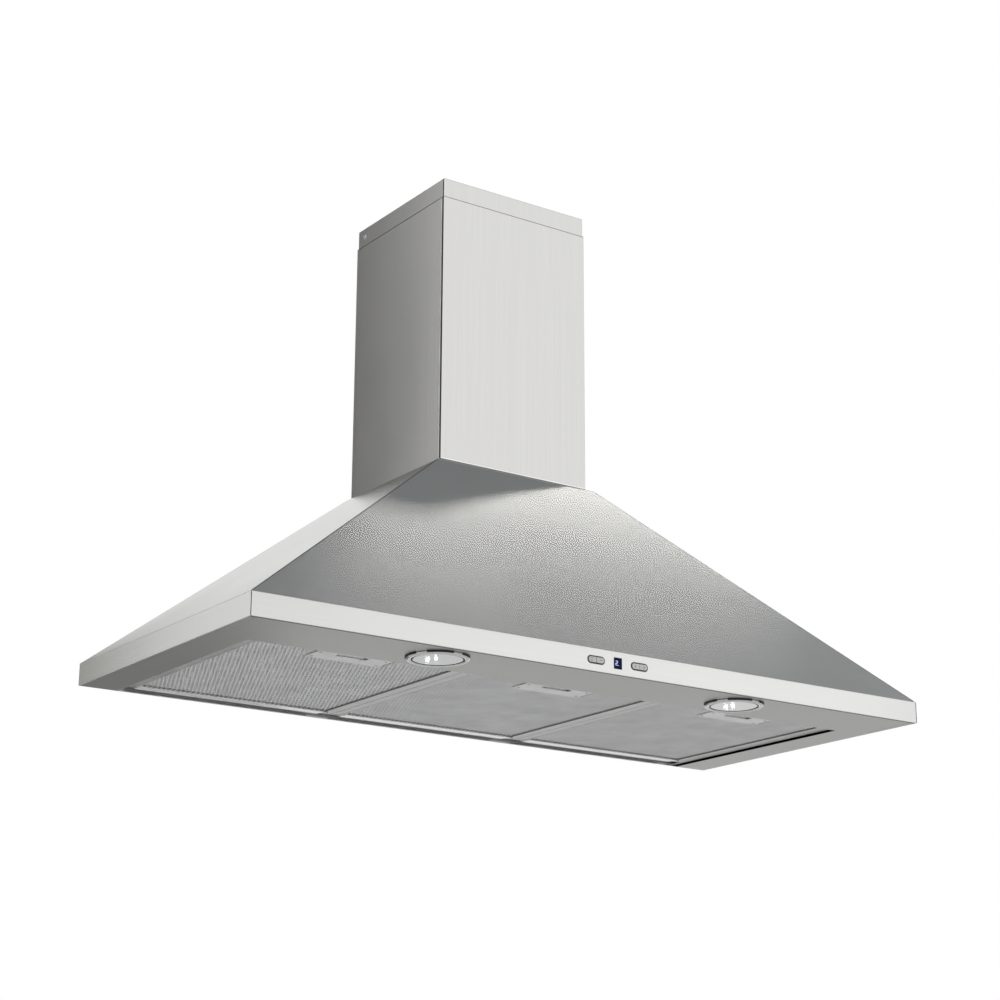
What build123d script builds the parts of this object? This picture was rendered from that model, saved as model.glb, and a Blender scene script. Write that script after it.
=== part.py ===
"""Chimney range hood: a pyramid canopy of brushed sheet with a telescopic chimney, three hooked-in
grease filters, two lamps, four push keys and a double-inlet centrifugal blower.

Millimetres. +X is to the right of someone facing the hood, +Y goes into the wall and +Z is up.
The origin is the midpoint between the two hanging holes, on the wall plane.
"""
from build123d import *
import os
from math import atan2, cos, degrees, hypot, pi, radians, sin, sqrt

# ---------------------------------------------------------------- driving dimensions
# Canopy
hood_width = 900.0
hood_depth = 395.0
band_height = 25.0
slope_height = 250.0
sheet = 1.0
hang_height = 200.0
hang_spacing = 260.0
hang_hole_radius = 4.5
fixing_spacing = 400.0
fixing_height = 60.0
fixing_hole_radius = 3.0

# Chimney covers
chimney_width = 210.0
chimney_depth = 200.0
top_ledge = 7.0
top_joint_gap = 0.4
cover_sheet = 0.8
cover_gap = 0.3
cover_return = 12.0
lower_cover_height = 336.0
upper_cover_height = 348.0
upper_cover_showing = 24.0
foot_tab_width = 12.0
foot_tab_length = 50.0
foot_tab_centre_y = -60.0

# Upper cover's wall bracket
bracket_sheet = 1.5
bracket_height = 20.0
bracket_ear = 24.0
bracket_clearance = 0.2
bracket_hole_spacing = 120.0
bracket_hole_radius = 3.0

# Underside
front_flange = 91.0
side_flange = 47.0
lip_height = 12.0
frame_flange_height = 9.0
corner_tab_width = 9.0
corner_tab_length = 75.0
corner_slit = 0.8

# Grease filters
filter_names = ["left", "middle", "right"]
filter_depth = 292.0
filter_thickness = 9.0
filter_spacing = 1.0
filter_side_play = 1.2
filter_end_gap = 7.8
filter_front_play = 2.0
filter_lift = 2.5
channel_sheet = 1.2
side_rail = 12.0
front_rail = 6.0
rear_rail = 21.0
rear_corner_radius = 7.5
mesh_clearance = 0.3

# Filter hooks and the rail that they hang in
hook_inset = 8.0
hook_rise = 5.5
hook_bead_radius = 2.5
hook_sheet = 1.0
hook_width = 20.0
hook_spacing = 160.0
hook_arch = 6.0
hook_reach = 8.0
hook_foot = 12.0
rail_sheet = 1.0
rail_step = 12.0
rail_flange = 16.0
rail_end_gap = 0.3

# Filter latches
latch_width = 90.0
latch_depth = 32.0
latch_wall = 1.0
slot_length = 40.0
slot_width = 10.0
slot_from_front = 14.0
slider_width = 64.0
slider_thickness = 1.5
slider_height = 4.5
slider_front_gap = 0.5
slider_length = 20.0
slider_skid = 4.0
slider_gap = 0.3
pull_rib = 1.8
tongue_width = 28.0
tongue_reach = 1.7
spring_strip = 0.6
spring_height = 3.0
spring_span = 44.0
spring_folds = 4

# Lamps
lamp_spacing = 406.0
lamp_hole_radius = 29.0
lamp_ring_radius = 34.0
lamp_ring_drop = 3.0
lamp_window_radius = 25.4
lamp_fit = 0.3
lens_thickness = 3.0
reflector_sheet = 0.8
reflector_sides = 16
reflector_margin = 2.0
reflector_height = 30.0
reflector_top_radius = 13.0
socket_size = 16.0
socket_height = 16.0
bulb_radius = 4.5
bulb_length = 15.0
bulb_sides = 12

# Control panel
panel_offset = 29.5
key_well_length = 23.0
key_well_height = 8.5
key_well_wall = 1.0
key_well_proud = 0.3
key_proud = 0.4
key_gap = 0.25
key_split = 0.8
key_travel = 0.8
key_flange = 1.5
key_flange_height = 9.5
key_stem_width = 3.0
key_switch_gap = 0.1
panel_hole_gap = 0.15
display_width = 10.5
display_height = 12.0
display_thickness = 0.9
housing_width = 104.0
housing_height = 20.0
housing_depth = 18.0
housing_wall = 1.5
housing_front = 2.0
board_thickness = 1.6
board_gap = 0.3
switch_size = 6.0
switch_height = 3.5
plunger_size = 3.0
plunger_height = 0.75
key_stem_length = 3.0
key_names = ["light", "minus", "plus", "power"]

# Duct collar and its flaps
collar_radius = 75.0
collar_sheet = 1.2
collar_height = 50.0
collar_flange = 12.0
collar_flange_sheet = 1.5
collar_flange_sides = 8
flap_height = 20.0
flap_gap = 0.6
flap_sheet = 1.0
flap_pin_radius = 1.5
running_gap = 0.1
knuckle_radius = 3.0
knuckle_clearance = 0.6
knuckle_sides = 8
knuckle_length = 56.0
knuckle_end_gap = 1.0
flap_sides = 48
stop_lug = 6.0
stop_lug_reach = 4.0

# Blower
fan_y = -172.0
fan_height = 140.0
fan_radius = 70.0
fan_half_length = 54.0
blade_count = 28
blade_inner_radius = 57.0
blade_sheet = 0.8
blade_lead = 7.0
blade_bow = 1.2
fan_ring_width = 2.0
ring_lap = 0.5
disc_lap = 1.5
fan_disc_sheet = 1.2
hub_radius = 9.0
hub_sides = 12
hub_left = 12.0
hub_right = 2.0
shaft_radius = 3.0
shaft_fit = 0.05
shaft_overhang = 1.0
volute_half_width = 65.0
volute_sheet = 1.0
volute_first_radius = 80.0
volute_step = 11.0
tongue_radius = 6.0
volute_facet_angle = 11.25
outlet_front = 38.0
outlet_height = 236.0
inlet_radius = 58.0
guard_radius = 72.0
guard_sheet = 1.5
guard_opening_radius = 56.0
guard_bar = 4.0
guard_pitch = 12.0
guard_slots = 9
guard_sides = 36
motor_radius = 38.0
motor_nose = 4.0
motor_boss_radius = 10.0
motor_boss_length = 6.0
motor_sides = 24
motor_shaft_gap = 0.3
motor_seat_radius = 32.0
arm_width = 12.0
arm_count = 3
capacitor_thickness = 20.0
capacitor_width = 36.0
capacitor_length = 34.0
capacitor_orbit = 87.0
capacitor_angle = 225.0

# Outlet adapter
adapter_sheet = 1.2
adapter_skirt = 8.0
adapter_fit = 0.2
adapter_facets = 6

# Power box and cord gland
power_box_width = 90.0
power_box_height = 50.0
power_box_depth = 41.0
power_box_centre_x = -255.0
power_box_base = 60.0
power_lid = 2.0
power_lid_overlap = 2.0
box_chamfer = 3.0
gland_x = -84.0
gland_y = -22.0
gland_bore_radius = 4.0
gland_body_radius = 8.0
gland_hole_gap = 0.2
gland_nut_radius = 11.0
gland_nut_height = 6.0
gland_cap_height = 14.0
gland_cap_radius = 9.0
gland_lock_height = 4.0

cut_over = 1.0

# ---------------------------------------------------------------- levels and derived places
z_bottom = -hang_height
z_band = z_bottom + band_height
z_top = z_band + slope_height
z_lower_top = z_top + lower_cover_height
z_upper_top = z_lower_top + upper_cover_showing
z_upper_bottom = z_upper_top - upper_cover_height

top_width = chimney_width + 2 * top_ledge
top_depth = chimney_depth + top_ledge
side_run = (hood_width - top_width) / 2
front_run = hood_depth - top_depth
side_inset = sheet * hypot(side_run, slope_height) / slope_height
front_inset = sheet * hypot(front_run, slope_height) / slope_height
inner_half_width = hood_width / 2 - sheet
inner_top_half = top_width / 2 + side_run * sheet / slope_height - side_inset
inner_top_depth = top_depth + front_run * sheet / slope_height - front_inset

collar_y = -chimney_depth / 2
collar_bore = collar_radius - collar_sheet
top_joint_y = collar_bore * sin(radians(45))

opening_half = hood_width / 2 - side_flange
opening_front_y = front_flange - hood_depth
lamp_y = -hood_depth + front_flange / 2

filter_count = len(filter_names)
filter_room = 2 * opening_half - filter_side_play - filter_end_gap
filter_width = (filter_room - (filter_count - 1) * filter_spacing) / filter_count
filter_front_y = opening_front_y + filter_front_play
filter_rear_y = filter_front_y + filter_depth
z_filter = z_bottom + filter_lift
z_filter_top = z_filter + filter_thickness
hinge_y = filter_rear_y - hook_inset
hinge_z = z_filter_top + hook_rise
gutter_radius = hook_bead_radius + slider_gap

latch_front_y = filter_front_y + front_rail
latch_rear_y = latch_front_y + latch_depth
slot_y = filter_front_y + slot_from_front

band_inner_y = sheet - hood_depth
z_panel = z_bottom + band_height / 2
z_flap = z_top + flap_height
fan_z = z_bottom + fan_height
z_outlet = z_bottom + outlet_height
volute_outer = volute_half_width + volute_sheet



def fan_face(x):
    """The plane square to the fan's shaft at x, centred on the shaft."""
    return Plane(origin=(x, fan_y, fan_z), x_dir=(0, 1, 0), z_dir=(1, 0, 0))


def save(piece, label):
    """Label a finished piece and write it."""
    piece.part.label = label
    export_step(piece.part, f"parts/{label}.step")


def wall_rectangle(width, depth, past_wall=0.0):
    """A rectangle whose rear edge lies on the wall plane, or past it."""
    with Locations((0, (past_wall - depth) / 2)):
        Rectangle(width, depth + past_wall)


def faceted_solid(outlines):
    """A solid bounded by flat faces, given by the outline of each."""
    return Solid(Shell([Face(Wire.make_polygon(outline)) for outline in outlines]))


def tapered_solid(lower, upper):
    """A solid with a flat side between each edge of the lower outline and that of the upper."""
    sides = [[lower[i - 1], lower[i], upper[i], upper[i - 1]] for i in range(len(lower))]
    return faceted_solid([lower, upper] + sides)


def wall_corners(width, depth, z, past_wall=0.0):
    """The corners of a rectangle at a level, with its rear edge on the wall plane or past it."""
    half = width / 2
    return [(-half, past_wall, z), (-half, -depth, z), (half, -depth, z), (half, past_wall, z)]


def ring_points(x, y, z, flat_radius, sides):
    """The corners of a regular polygon whose flats lie at the radius."""
    radius = flat_radius / cos(pi / sides)
    angles = [2 * pi * i / sides for i in range(sides)]
    return [(x + radius * cos(angle), y + radius * sin(angle), z) for angle in angles]


# ---------------------------------------------------------------- canopy
def canopy_sheet():
    """The whole folded sheet: upright band, slopes and top plate, open below and towards the wall."""
    with BuildPart(mode=Mode.PRIVATE) as whole:
        with BuildSketch(Plane.XY.offset(z_bottom)):
            wall_rectangle(hood_width, hood_depth)
        extrude(amount=band_height)
        add(tapered_solid(
            wall_corners(hood_width, hood_depth, z_band),
            wall_corners(top_width, top_depth, z_top),
        ))
        with BuildSketch(Plane.XY.offset(z_bottom)):
            wall_rectangle(2 * inner_half_width, hood_depth - sheet, cut_over)
        extrude(amount=band_height, mode=Mode.SUBTRACT)
        add(
            tapered_solid(
                wall_corners(hood_width - 2 * side_inset, hood_depth - front_inset, z_band, cut_over),
                wall_corners(2 * inner_top_half, inner_top_depth, z_top - sheet, cut_over),
            ),
            mode=Mode.SUBTRACT,
        )
    return whole.part


def hip_plane(side):
    """The upright plane through a front corner's hip, facing the canopy's front."""
    return Plane(
        origin=(side * hood_width / 2, -hood_depth, z_bottom),
        z_dir=(-side * front_run, -side_run, 0),
    )


def make_canopy():
    """Front and side panels that meet at the hips, under four top flanges round the duct opening."""
    whole = canopy_sheet()
    top_seam = Plane.XY.offset(z_top - sheet)
    with BuildPart() as front:
        add(whole)
        split(bisect_by=top_seam, keep=Keep.BOTTOM)
        for side in (-1, 1):
            split(bisect_by=hip_plane(side), keep=Keep.TOP)

        # Key wells and display window through the band.
        with BuildSketch(Plane.XZ.offset(hood_depth)):
            with Locations((-panel_offset, z_panel), (panel_offset, z_panel)):
                SlotOverall(key_well_length + 2 * panel_hole_gap, key_well_height + 2 * panel_hole_gap)
            with Locations((0, z_panel)):
                Rectangle(display_width + 2 * panel_hole_gap, display_height + 2 * panel_hole_gap)
        extrude(amount=-sheet, mode=Mode.SUBTRACT)
    save(front, "canopy_front")

    for name, side, half in (("left", -1, Keep.BOTTOM), ("right", 1, Keep.TOP)):
        with BuildPart() as panel:
            add(whole)
            split(bisect_by=top_seam, keep=Keep.BOTTOM)
            split(bisect_by=hip_plane(side), keep=Keep.BOTTOM)
            split(bisect_by=Plane.YZ, keep=half)
        save(panel, f"canopy_{name}")

    with BuildPart() as top:
        add(whole)
        split(bisect_by=top_seam, keep=Keep.TOP)
        with BuildSketch(top_seam):
            with Locations((0, collar_y)):
                RegularPolygon(
                    collar_bore,
                    collar_flange_sides,
                    major_radius=False,
                    rotation=180 / collar_flange_sides,
                )
            with Locations((gland_x, gland_y)):
                Circle(gland_body_radius + gland_hole_gap)
            for side in (-1, 1):
                with Locations((0, collar_y + side * top_joint_y)):
                    Rectangle(hood_width, top_joint_gap)
        extrude(amount=sheet, mode=Mode.SUBTRACT)
    save(top, "canopy_top")


def make_underside_frame():
    rear_y = -sheet
    with BuildPart() as underside_frame:
        with BuildSketch(Plane.XY.offset(z_bottom)):
            with Locations((0, (band_inner_y + rear_y) / 2)):
                Rectangle(2 * inner_half_width, rear_y - band_inner_y)
            with Locations((0, (opening_front_y + cut_over) / 2)):
                Rectangle(2 * opening_half, cut_over - opening_front_y, mode=Mode.SUBTRACT)
            with Locations((-lamp_spacing / 2, lamp_y), (lamp_spacing / 2, lamp_y)):
                Circle(lamp_hole_radius, mode=Mode.SUBTRACT)
            for side in (-1, 1):
                slit_x = side * (hood_width / 2 - corner_tab_width)
                slit_y = -hood_depth + corner_tab_width
                with BuildLine():
                    Polyline(
                        (side * hood_width / 2, -hood_depth),
                        (slit_x, slit_y),
                        (slit_x, -hood_depth + corner_tab_length),
                    )
                trace(line_width=corner_slit, mode=Mode.SUBTRACT)
        extrude(amount=sheet)

        # Lips turned up round the filter opening.
        with BuildSketch(Plane.XY.offset(z_bottom)):
            with Locations((0, opening_front_y - sheet / 2)):
                Rectangle(2 * (opening_half + sheet), sheet)
            for side in (-1, 1):
                with Locations((side * (opening_half + sheet / 2), (opening_front_y + rear_y) / 2)):
                    Rectangle(sheet, rear_y - opening_front_y)
        extrude(amount=lip_height)

        # Outer flanges turned up against the band, with a break for the control panel.
        with BuildSketch(Plane.XY.offset(z_bottom)):
            flange_run = inner_half_width - housing_width / 2 - corner_tab_width
            side_front_y = corner_tab_length - hood_depth
            for side in (-1, 1):
                flange_x = side * (housing_width / 2 + corner_tab_width / 2 + flange_run / 2)
                with Locations((flange_x, band_inner_y + sheet / 2)):
                    Rectangle(flange_run, sheet)
                with Locations((side * (inner_half_width - sheet / 2), (side_front_y + rear_y) / 2)):
                    Rectangle(sheet, rear_y - side_front_y)
        extrude(amount=frame_flange_height)
    save(underside_frame, "underside_frame")


def make_rear_panel():
    with BuildPart() as rear_panel:
        with BuildSketch(Plane.XZ):
            with BuildLine():
                half_at_band = hood_width / 2 - side_inset
                Polyline(
                    (-inner_half_width, z_bottom),
                    (inner_half_width, z_bottom),
                    (inner_half_width, z_band),
                    (half_at_band, z_band),
                    (inner_top_half, z_top - sheet),
                    (-inner_top_half, z_top - sheet),
                    (-half_at_band, z_band),
                    (-inner_half_width, z_band),
                    close=True,
                )
            make_face()
            with GridLocations(hang_spacing, 0, 2, 1):
                Circle(hang_hole_radius, mode=Mode.SUBTRACT)
            with Locations((0, z_bottom + fixing_height)):
                with GridLocations(fixing_spacing, 0, 2, 1):
                    Circle(fixing_hole_radius, mode=Mode.SUBTRACT)
        extrude(amount=sheet)
    save(rear_panel, "rear_panel")


# ---------------------------------------------------------------- chimney
def cover_outline(half_width, front_y, rear_y):
    """A cover's centre line in plan: two sides, a front and short returns along the wall."""
    mid = cover_sheet / 2
    return [
        (cover_return - half_width, rear_y - mid),
        (mid - half_width, rear_y - mid),
        (mid - half_width, front_y + mid),
        (half_width - mid, front_y + mid),
        (half_width - mid, rear_y - mid),
        (half_width - cover_return, rear_y - mid),
    ]


def make_lower_cover():
    with BuildPart() as lower_cover:
        with BuildSketch(Plane.XY.offset(z_top)):
            with BuildLine():
                Polyline(*cover_outline(chimney_width / 2, -chimney_depth, 0))
            trace(line_width=cover_sheet)
        extrude(amount=lower_cover_height)
        with BuildSketch(Plane.XY.offset(z_top)):
            with Locations((0, foot_tab_centre_y)):
                with GridLocations(chimney_width - 2 * cover_sheet - foot_tab_width, 0, 2, 1):
                    Rectangle(foot_tab_width, foot_tab_length)
        extrude(amount=cover_sheet)
    save(lower_cover, "lower_cover")


upper_inset = cover_sheet + cover_gap
upper_half_width = chimney_width / 2 - upper_inset
upper_front_y = upper_inset - chimney_depth
ear_centre_z = z_upper_top - cover_sheet - bracket_height / 2


def make_upper_cover():
    with BuildPart() as upper_cover:
        with BuildSketch(Plane.XY.offset(z_upper_bottom)):
            with BuildLine():
                Polyline(*cover_outline(upper_half_width, upper_front_y, -upper_inset))
            trace(line_width=cover_sheet)
        extrude(amount=upper_cover_height)
    save(upper_cover, "upper_cover")


def make_upper_bracket():
    """A strap along the wall, joggled over the cover's returns, with an ear along each side."""
    mid = bracket_sheet / 2
    ear_x = upper_half_width - cover_sheet - bracket_clearance - mid
    joggle_y = -upper_inset - cover_sheet - cover_gap - mid
    wall_x = upper_half_width - cover_return - cover_gap - bracket_sheet
    ear_end_y = joggle_y - bracket_ear
    with BuildPart() as upper_bracket:
        with BuildSketch(Plane.XY.offset(ear_centre_z - bracket_height / 2)):
            with BuildLine():
                Polyline(
                    (-ear_x, ear_end_y),
                    (-ear_x, joggle_y),
                    (-wall_x, joggle_y),
                    (-wall_x, -mid),
                    (wall_x, -mid),
                    (wall_x, joggle_y),
                    (ear_x, joggle_y),
                    (ear_x, ear_end_y),
                )
            trace(line_width=bracket_sheet)
        extrude(amount=bracket_height)
        with BuildSketch(Plane.XZ):
            with Locations((0, ear_centre_z)):
                with GridLocations(bracket_hole_spacing, 0, 2, 1):
                    Circle(bracket_hole_radius)
        extrude(amount=bracket_sheet, mode=Mode.SUBTRACT)
    save(upper_bracket, "upper_bracket")


# ---------------------------------------------------------------- grease filters
def filter_centres():
    """The filters stand side by side from the left edge of the opening."""
    first = -opening_half + filter_side_play + filter_width / 2
    return [first + i * (filter_width + filter_spacing) for i in range(filter_count)]


def channel_section(inset):
    """The filter's side view, rounded at the lower rear edge and drawn in by the inset."""
    with BuildSketch(mode=Mode.PRIVATE) as section:
        with Locations((filter_front_y + filter_depth / 2, z_filter + filter_thickness / 2)):
            Rectangle(filter_depth - 2 * inset, filter_thickness - 2 * inset)
        lower_rear = section.vertices().group_by(Axis.X)[-1].sort_by(Axis.Y)[0]
        fillet(lower_rear, radius=rear_corner_radius - inset)
    return section.sketch


def make_filter_frame(name, x):
    """A folded channel round the mesh, with two hooks riveted on at the back."""
    half = filter_width / 2
    window_front = filter_front_y + front_rail
    window_rear = filter_rear_y - rear_rail
    with BuildPart() as frame:
        with BuildSketch(Plane.YZ.offset(x)):
            add(channel_section(0))
        extrude(amount=half, both=True)
        with BuildSketch(Plane.YZ.offset(x)):
            add(channel_section(channel_sheet))
        extrude(amount=half - channel_sheet, both=True, mode=Mode.SUBTRACT)
        with BuildSketch(Plane.XY.offset(z_filter)):
            with Locations((x, (window_front + window_rear) / 2)):
                Rectangle(filter_width - 2 * side_rail, window_rear - window_front)
        extrude(amount=filter_thickness, mode=Mode.SUBTRACT)

        # Opening for the latch tongue in the front wall.
        with BuildSketch(Plane.XZ.offset(-filter_front_y)):
            with Locations((x, z_slider + slider_thickness / 2)):
                Rectangle(tongue_width + 2 * slider_gap, slider_thickness + 2 * slider_gap)
        extrude(amount=-channel_sheet, mode=Mode.SUBTRACT)

        # Hooks: a foot on the channel, an arch over the gutter's edge and a bead in the gutter.
        foot_z = z_filter_top + hook_sheet / 2
        for side in (-1, 1):
            with BuildSketch(Plane.YZ.offset(x + side * hook_spacing / 2)):
                with BuildLine():
                    Polyline(
                        (hinge_y, hinge_z),
                        (hinge_y, hinge_z + hook_arch),
                        (hinge_y - hook_reach, hinge_z + hook_arch),
                        (hinge_y - hook_reach, foot_z),
                        (hinge_y - hook_reach - hook_foot, foot_z),
                    )
                trace(line_width=hook_sheet)
                with Locations((hinge_y, hinge_z)):
                    Circle(hook_bead_radius)
            extrude(amount=hook_width / 2, both=True)
    save(frame, f"filter_frame_{name}")


def make_filter_mesh(name, x):
    """The pack of expanded mesh, cut away round the latch."""
    inner_half = filter_width / 2 - channel_sheet - mesh_clearance
    front_y = filter_front_y + channel_sheet + mesh_clearance
    rear_y = filter_rear_y - rear_corner_radius - mesh_clearance
    notch_half = latch_width / 2 + mesh_clearance
    with BuildPart() as mesh:
        with BuildSketch(Plane.XY.offset(z_filter + channel_sheet + mesh_clearance)):
            with Locations((x, (front_y + rear_y) / 2)):
                Rectangle(2 * inner_half, rear_y - front_y)
            with Locations((x, (front_y + latch_rear_y + mesh_clearance) / 2)):
                Rectangle(2 * notch_half, latch_rear_y + mesh_clearance - front_y, mode=Mode.SUBTRACT)
        extrude(amount=filter_thickness - 2 * (channel_sheet + mesh_clearance))
    save(mesh, f"filter_mesh_{name}")


z_slider = z_filter + slider_height


def make_latch_plate(name, x):
    """A shallow pressed tray whose floor is the smooth plate with the finger slot."""
    tray_height = filter_thickness - channel_sheet - mesh_clearance
    with BuildPart() as plate:
        with BuildSketch(Plane.XY.offset(z_filter)):
            with Locations((x, (latch_front_y + latch_rear_y) / 2)):
                Rectangle(latch_width, latch_depth)
        extrude(amount=tray_height)
        with BuildSketch(Plane.XY.offset(z_filter + latch_wall)):
            with Locations((x, (latch_front_y - cut_over + latch_rear_y - latch_wall) / 2)):
                Rectangle(latch_width - 2 * latch_wall, latch_depth - latch_wall + cut_over)
        extrude(amount=tray_height, mode=Mode.SUBTRACT)
        with BuildSketch(Plane.XY.offset(z_filter)):
            with Locations((x, slot_y)):
                SlotOverall(slot_length, slot_width)
        extrude(amount=latch_wall, mode=Mode.SUBTRACT)
    save(plate, f"latch_plate_{name}")


def make_latch_slider(name, x):
    """The sliding bolt: a plate on two skids, a rib for the fingertip and the tongue."""
    front_y = latch_front_y + slider_front_gap
    rear_y = front_y + slider_length
    rib_y = slot_y + slot_width / 2 - slider_gap - pull_rib / 2
    skid_z = z_filter + latch_wall + slider_gap
    with BuildPart() as slider:
        with BuildSketch(Plane.XY.offset(z_slider)):
            with Locations((x, (front_y + rear_y) / 2)):
                Rectangle(slider_width, slider_length)
            with Locations((x, (filter_front_y - tongue_reach + front_y) / 2)):
                Rectangle(tongue_width, front_y - filter_front_y + tongue_reach)
        extrude(amount=slider_thickness)
        with BuildSketch(Plane.XY.offset(skid_z)):
            with Locations((x, (front_y + rear_y) / 2)):
                with GridLocations(slider_width - slider_skid, 0, 2, 1):
                    Rectangle(slider_skid, slider_length)
            with Locations((x, rib_y)):
                Rectangle(slot_length - slot_width, pull_rib)
        extrude(amount=z_slider - skid_z)
    save(slider, f"latch_slider_{name}")


def make_latch_spring(name, x):
    """A zigzag strip spring between the slider and the tray's rear wall."""
    near_y = latch_front_y + slider_front_gap + slider_length + slider_gap + spring_strip
    far_y = latch_rear_y - latch_wall - slider_gap - spring_strip
    turns = 2 * spring_folds
    points = [
        (x - spring_span / 2 + i * spring_span / turns, far_y if i % 2 else near_y)
        for i in range(turns + 1)
    ]
    with BuildPart() as spring:
        with BuildSketch(Plane.XY.offset(z_slider - spring_height / 2)):
            with BuildLine():
                Polyline(*points)
            trace(line_width=spring_strip)
        extrude(amount=spring_height)
    save(spring, f"latch_spring_{name}")


def make_filter_rail():
    """A gutter for the hooks' beads, stepped back up to a flange on the rear panel."""
    middle_radius = gutter_radius + rail_sheet / 2
    flange_y = -sheet - rail_sheet / 2
    leg_y = hinge_y + middle_radius
    with BuildPart() as filter_rail:
        with BuildSketch(Plane.YZ):
            with BuildLine():
                CenterArc((hinge_y, hinge_z), middle_radius, 180, 180)
                Polyline(
                    (leg_y, hinge_z),
                    (leg_y, hinge_z + rail_step),
                    (flange_y, hinge_z + rail_step),
                    (flange_y, hinge_z + rail_step + rail_flange),
                )
            trace(line_width=rail_sheet)
        extrude(amount=opening_half - rail_end_gap, both=True)
    save(filter_rail, "filter_rail")


# ---------------------------------------------------------------- lamps
lamp_places = [(-lamp_spacing / 2, lamp_y), (lamp_spacing / 2, lamp_y)]


def make_lamp_rings():
    """Chrome rings under the sheet, with a bevelled rim and a seat for the glass."""
    with BuildPart() as rings:
        for x, y in lamp_places:
            with BuildSketch(Plane(origin=(x, y, z_bottom), x_dir=(1, 0, 0), z_dir=(0, -1, 0))):
                with BuildLine():
                    Polyline(
                        (lamp_window_radius, -lamp_ring_drop),
                        (lamp_ring_radius - lamp_ring_drop, -lamp_ring_drop),
                        (lamp_ring_radius, 0),
                        (lamp_window_radius, 0),
                        close=True,
                    )
                make_face()
            revolve(axis=Axis((x, y, z_bottom), (0, 0, 1)))
    save(rings, "lamp_rings")


def make_lamp_lenses():
    with BuildPart() as lenses:
        with BuildSketch(Plane.XY.offset(z_bottom)):
            with Locations(*lamp_places):
                Circle(lamp_hole_radius - lamp_fit)
        extrude(amount=lens_thickness)
    save(lenses, "lamp_lenses")


def make_lamp_reflectors():
    """Faceted bowls that stand on the sheet round the lamp holes, each with its bulb socket."""
    rim_z = z_bottom + sheet
    rim_radius = lamp_hole_radius + reflector_margin
    socket_z = rim_z + reflector_height - socket_height / 2
    with BuildPart() as reflectors:
        for x, y in lamp_places:
            for grow, mode in ((reflector_sheet, Mode.ADD), (0, Mode.SUBTRACT)):
                floor_z = rim_z + reflector_height + grow - reflector_sheet
                bowl = tapered_solid(
                    ring_points(x, y, rim_z, rim_radius + grow, reflector_sides),
                    ring_points(x, y, floor_z, reflector_top_radius + grow, reflector_sides),
                )
                add(bowl, mode=mode)
        with BuildSketch(Plane.XY.offset(socket_z)):
            with Locations(*lamp_places):
                Rectangle(socket_size, socket_size)
        extrude(amount=socket_height)
    save(reflectors, "lamp_reflectors")

    with BuildPart() as bulbs:
        with BuildSketch(Plane.XY.offset(socket_z)):
            with Locations(*lamp_places):
                RegularPolygon(bulb_radius, bulb_sides)
        extrude(amount=-bulb_length)
    save(bulbs, "lamp_bulbs")


# ---------------------------------------------------------------- control panel
wall_rear_y = band_inner_y + housing_front
key_flange_front_y = wall_rear_y + key_switch_gap
stem_end_y = key_flange_front_y + key_flange + key_stem_length
plunger_tip_y = stem_end_y + key_travel + key_switch_gap
board_front_y = plunger_tip_y + switch_height + plunger_height


def key_half(side):
    """One key's face: half of the oblong well, to one side of its middle."""
    length = key_well_length - 2 * key_well_wall - 2 * key_gap
    height = key_well_height - 2 * key_well_wall - 2 * key_gap
    SlotOverall(length, height)
    with Locations((side * (length + key_split) / 2, 0)):
        Rectangle(length, height, mode=Mode.INTERSECT)


def key_places():
    """Name, well centre and side of each key, from left to right."""
    wells = [-panel_offset, -panel_offset, panel_offset, panel_offset]
    sides = [-1, 1, -1, 1]
    return list(zip(key_names, wells, sides))


def make_control_housing():
    """A moulded box behind the band, with a collar standing out through each key well."""
    with BuildPart() as housing:
        with BuildSketch(Plane.XZ.offset(-band_inner_y)):
            with Locations((0, z_panel)):
                Rectangle(housing_width, housing_height)
        extrude(amount=-housing_depth)
        with BuildSketch(Plane.XZ.offset(-wall_rear_y)):
            with Locations((0, z_panel)):
                Rectangle(housing_width - 2 * housing_wall, housing_height - 2 * housing_wall)
        extrude(amount=-housing_depth, mode=Mode.SUBTRACT)
        with BuildSketch(Plane.XZ.offset(hood_depth + key_well_proud)):
            with Locations((-panel_offset, z_panel), (panel_offset, z_panel)):
                SlotOverall(key_well_length, key_well_height)
        extrude(amount=-(sheet + key_well_proud))
        with BuildSketch(Plane.XZ.offset(hood_depth + key_well_proud)):
            with Locations((-panel_offset, z_panel), (panel_offset, z_panel)):
                SlotOverall(key_well_length - 2 * key_well_wall, key_well_height - 2 * key_well_wall)
            with Locations((0, z_panel)):
                Rectangle(display_width - 2, display_height - 2)
        extrude(amount=-(sheet + key_well_proud + housing_front), mode=Mode.SUBTRACT)
    save(housing, "control_housing")


def make_control_board():
    """The circuit board with four switches under the keys and the display module."""
    inner_width = housing_width - 2 * housing_wall - 2 * board_gap
    inner_height = housing_height - 2 * housing_wall - 2 * board_gap
    switch_places = [
        (well + side * (key_well_length - 2 * key_well_wall) / 4, z_panel)
        for _, well, side in key_places()
    ]
    with BuildPart() as board:
        with BuildSketch(Plane.XZ.offset(-board_front_y)):
            with Locations((0, z_panel)):
                Rectangle(inner_width, inner_height)
        extrude(amount=-board_thickness)
        with BuildSketch(Plane.XZ.offset(-board_front_y)):
            with Locations(*switch_places):
                Rectangle(switch_size, switch_size)
        extrude(amount=switch_height)
        with BuildSketch(Plane.XZ.offset(-board_front_y)):
            with Locations(*switch_places):
                Rectangle(plunger_size, plunger_size)
        extrude(amount=board_front_y - plunger_tip_y)
        with BuildSketch(Plane.XZ.offset(-board_front_y)):
            with Locations((0, z_panel)):
                Rectangle(display_width - 3, display_height - 3)
        extrude(amount=board_front_y - band_inner_y - board_gap)
    save(board, "control_board")


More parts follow.
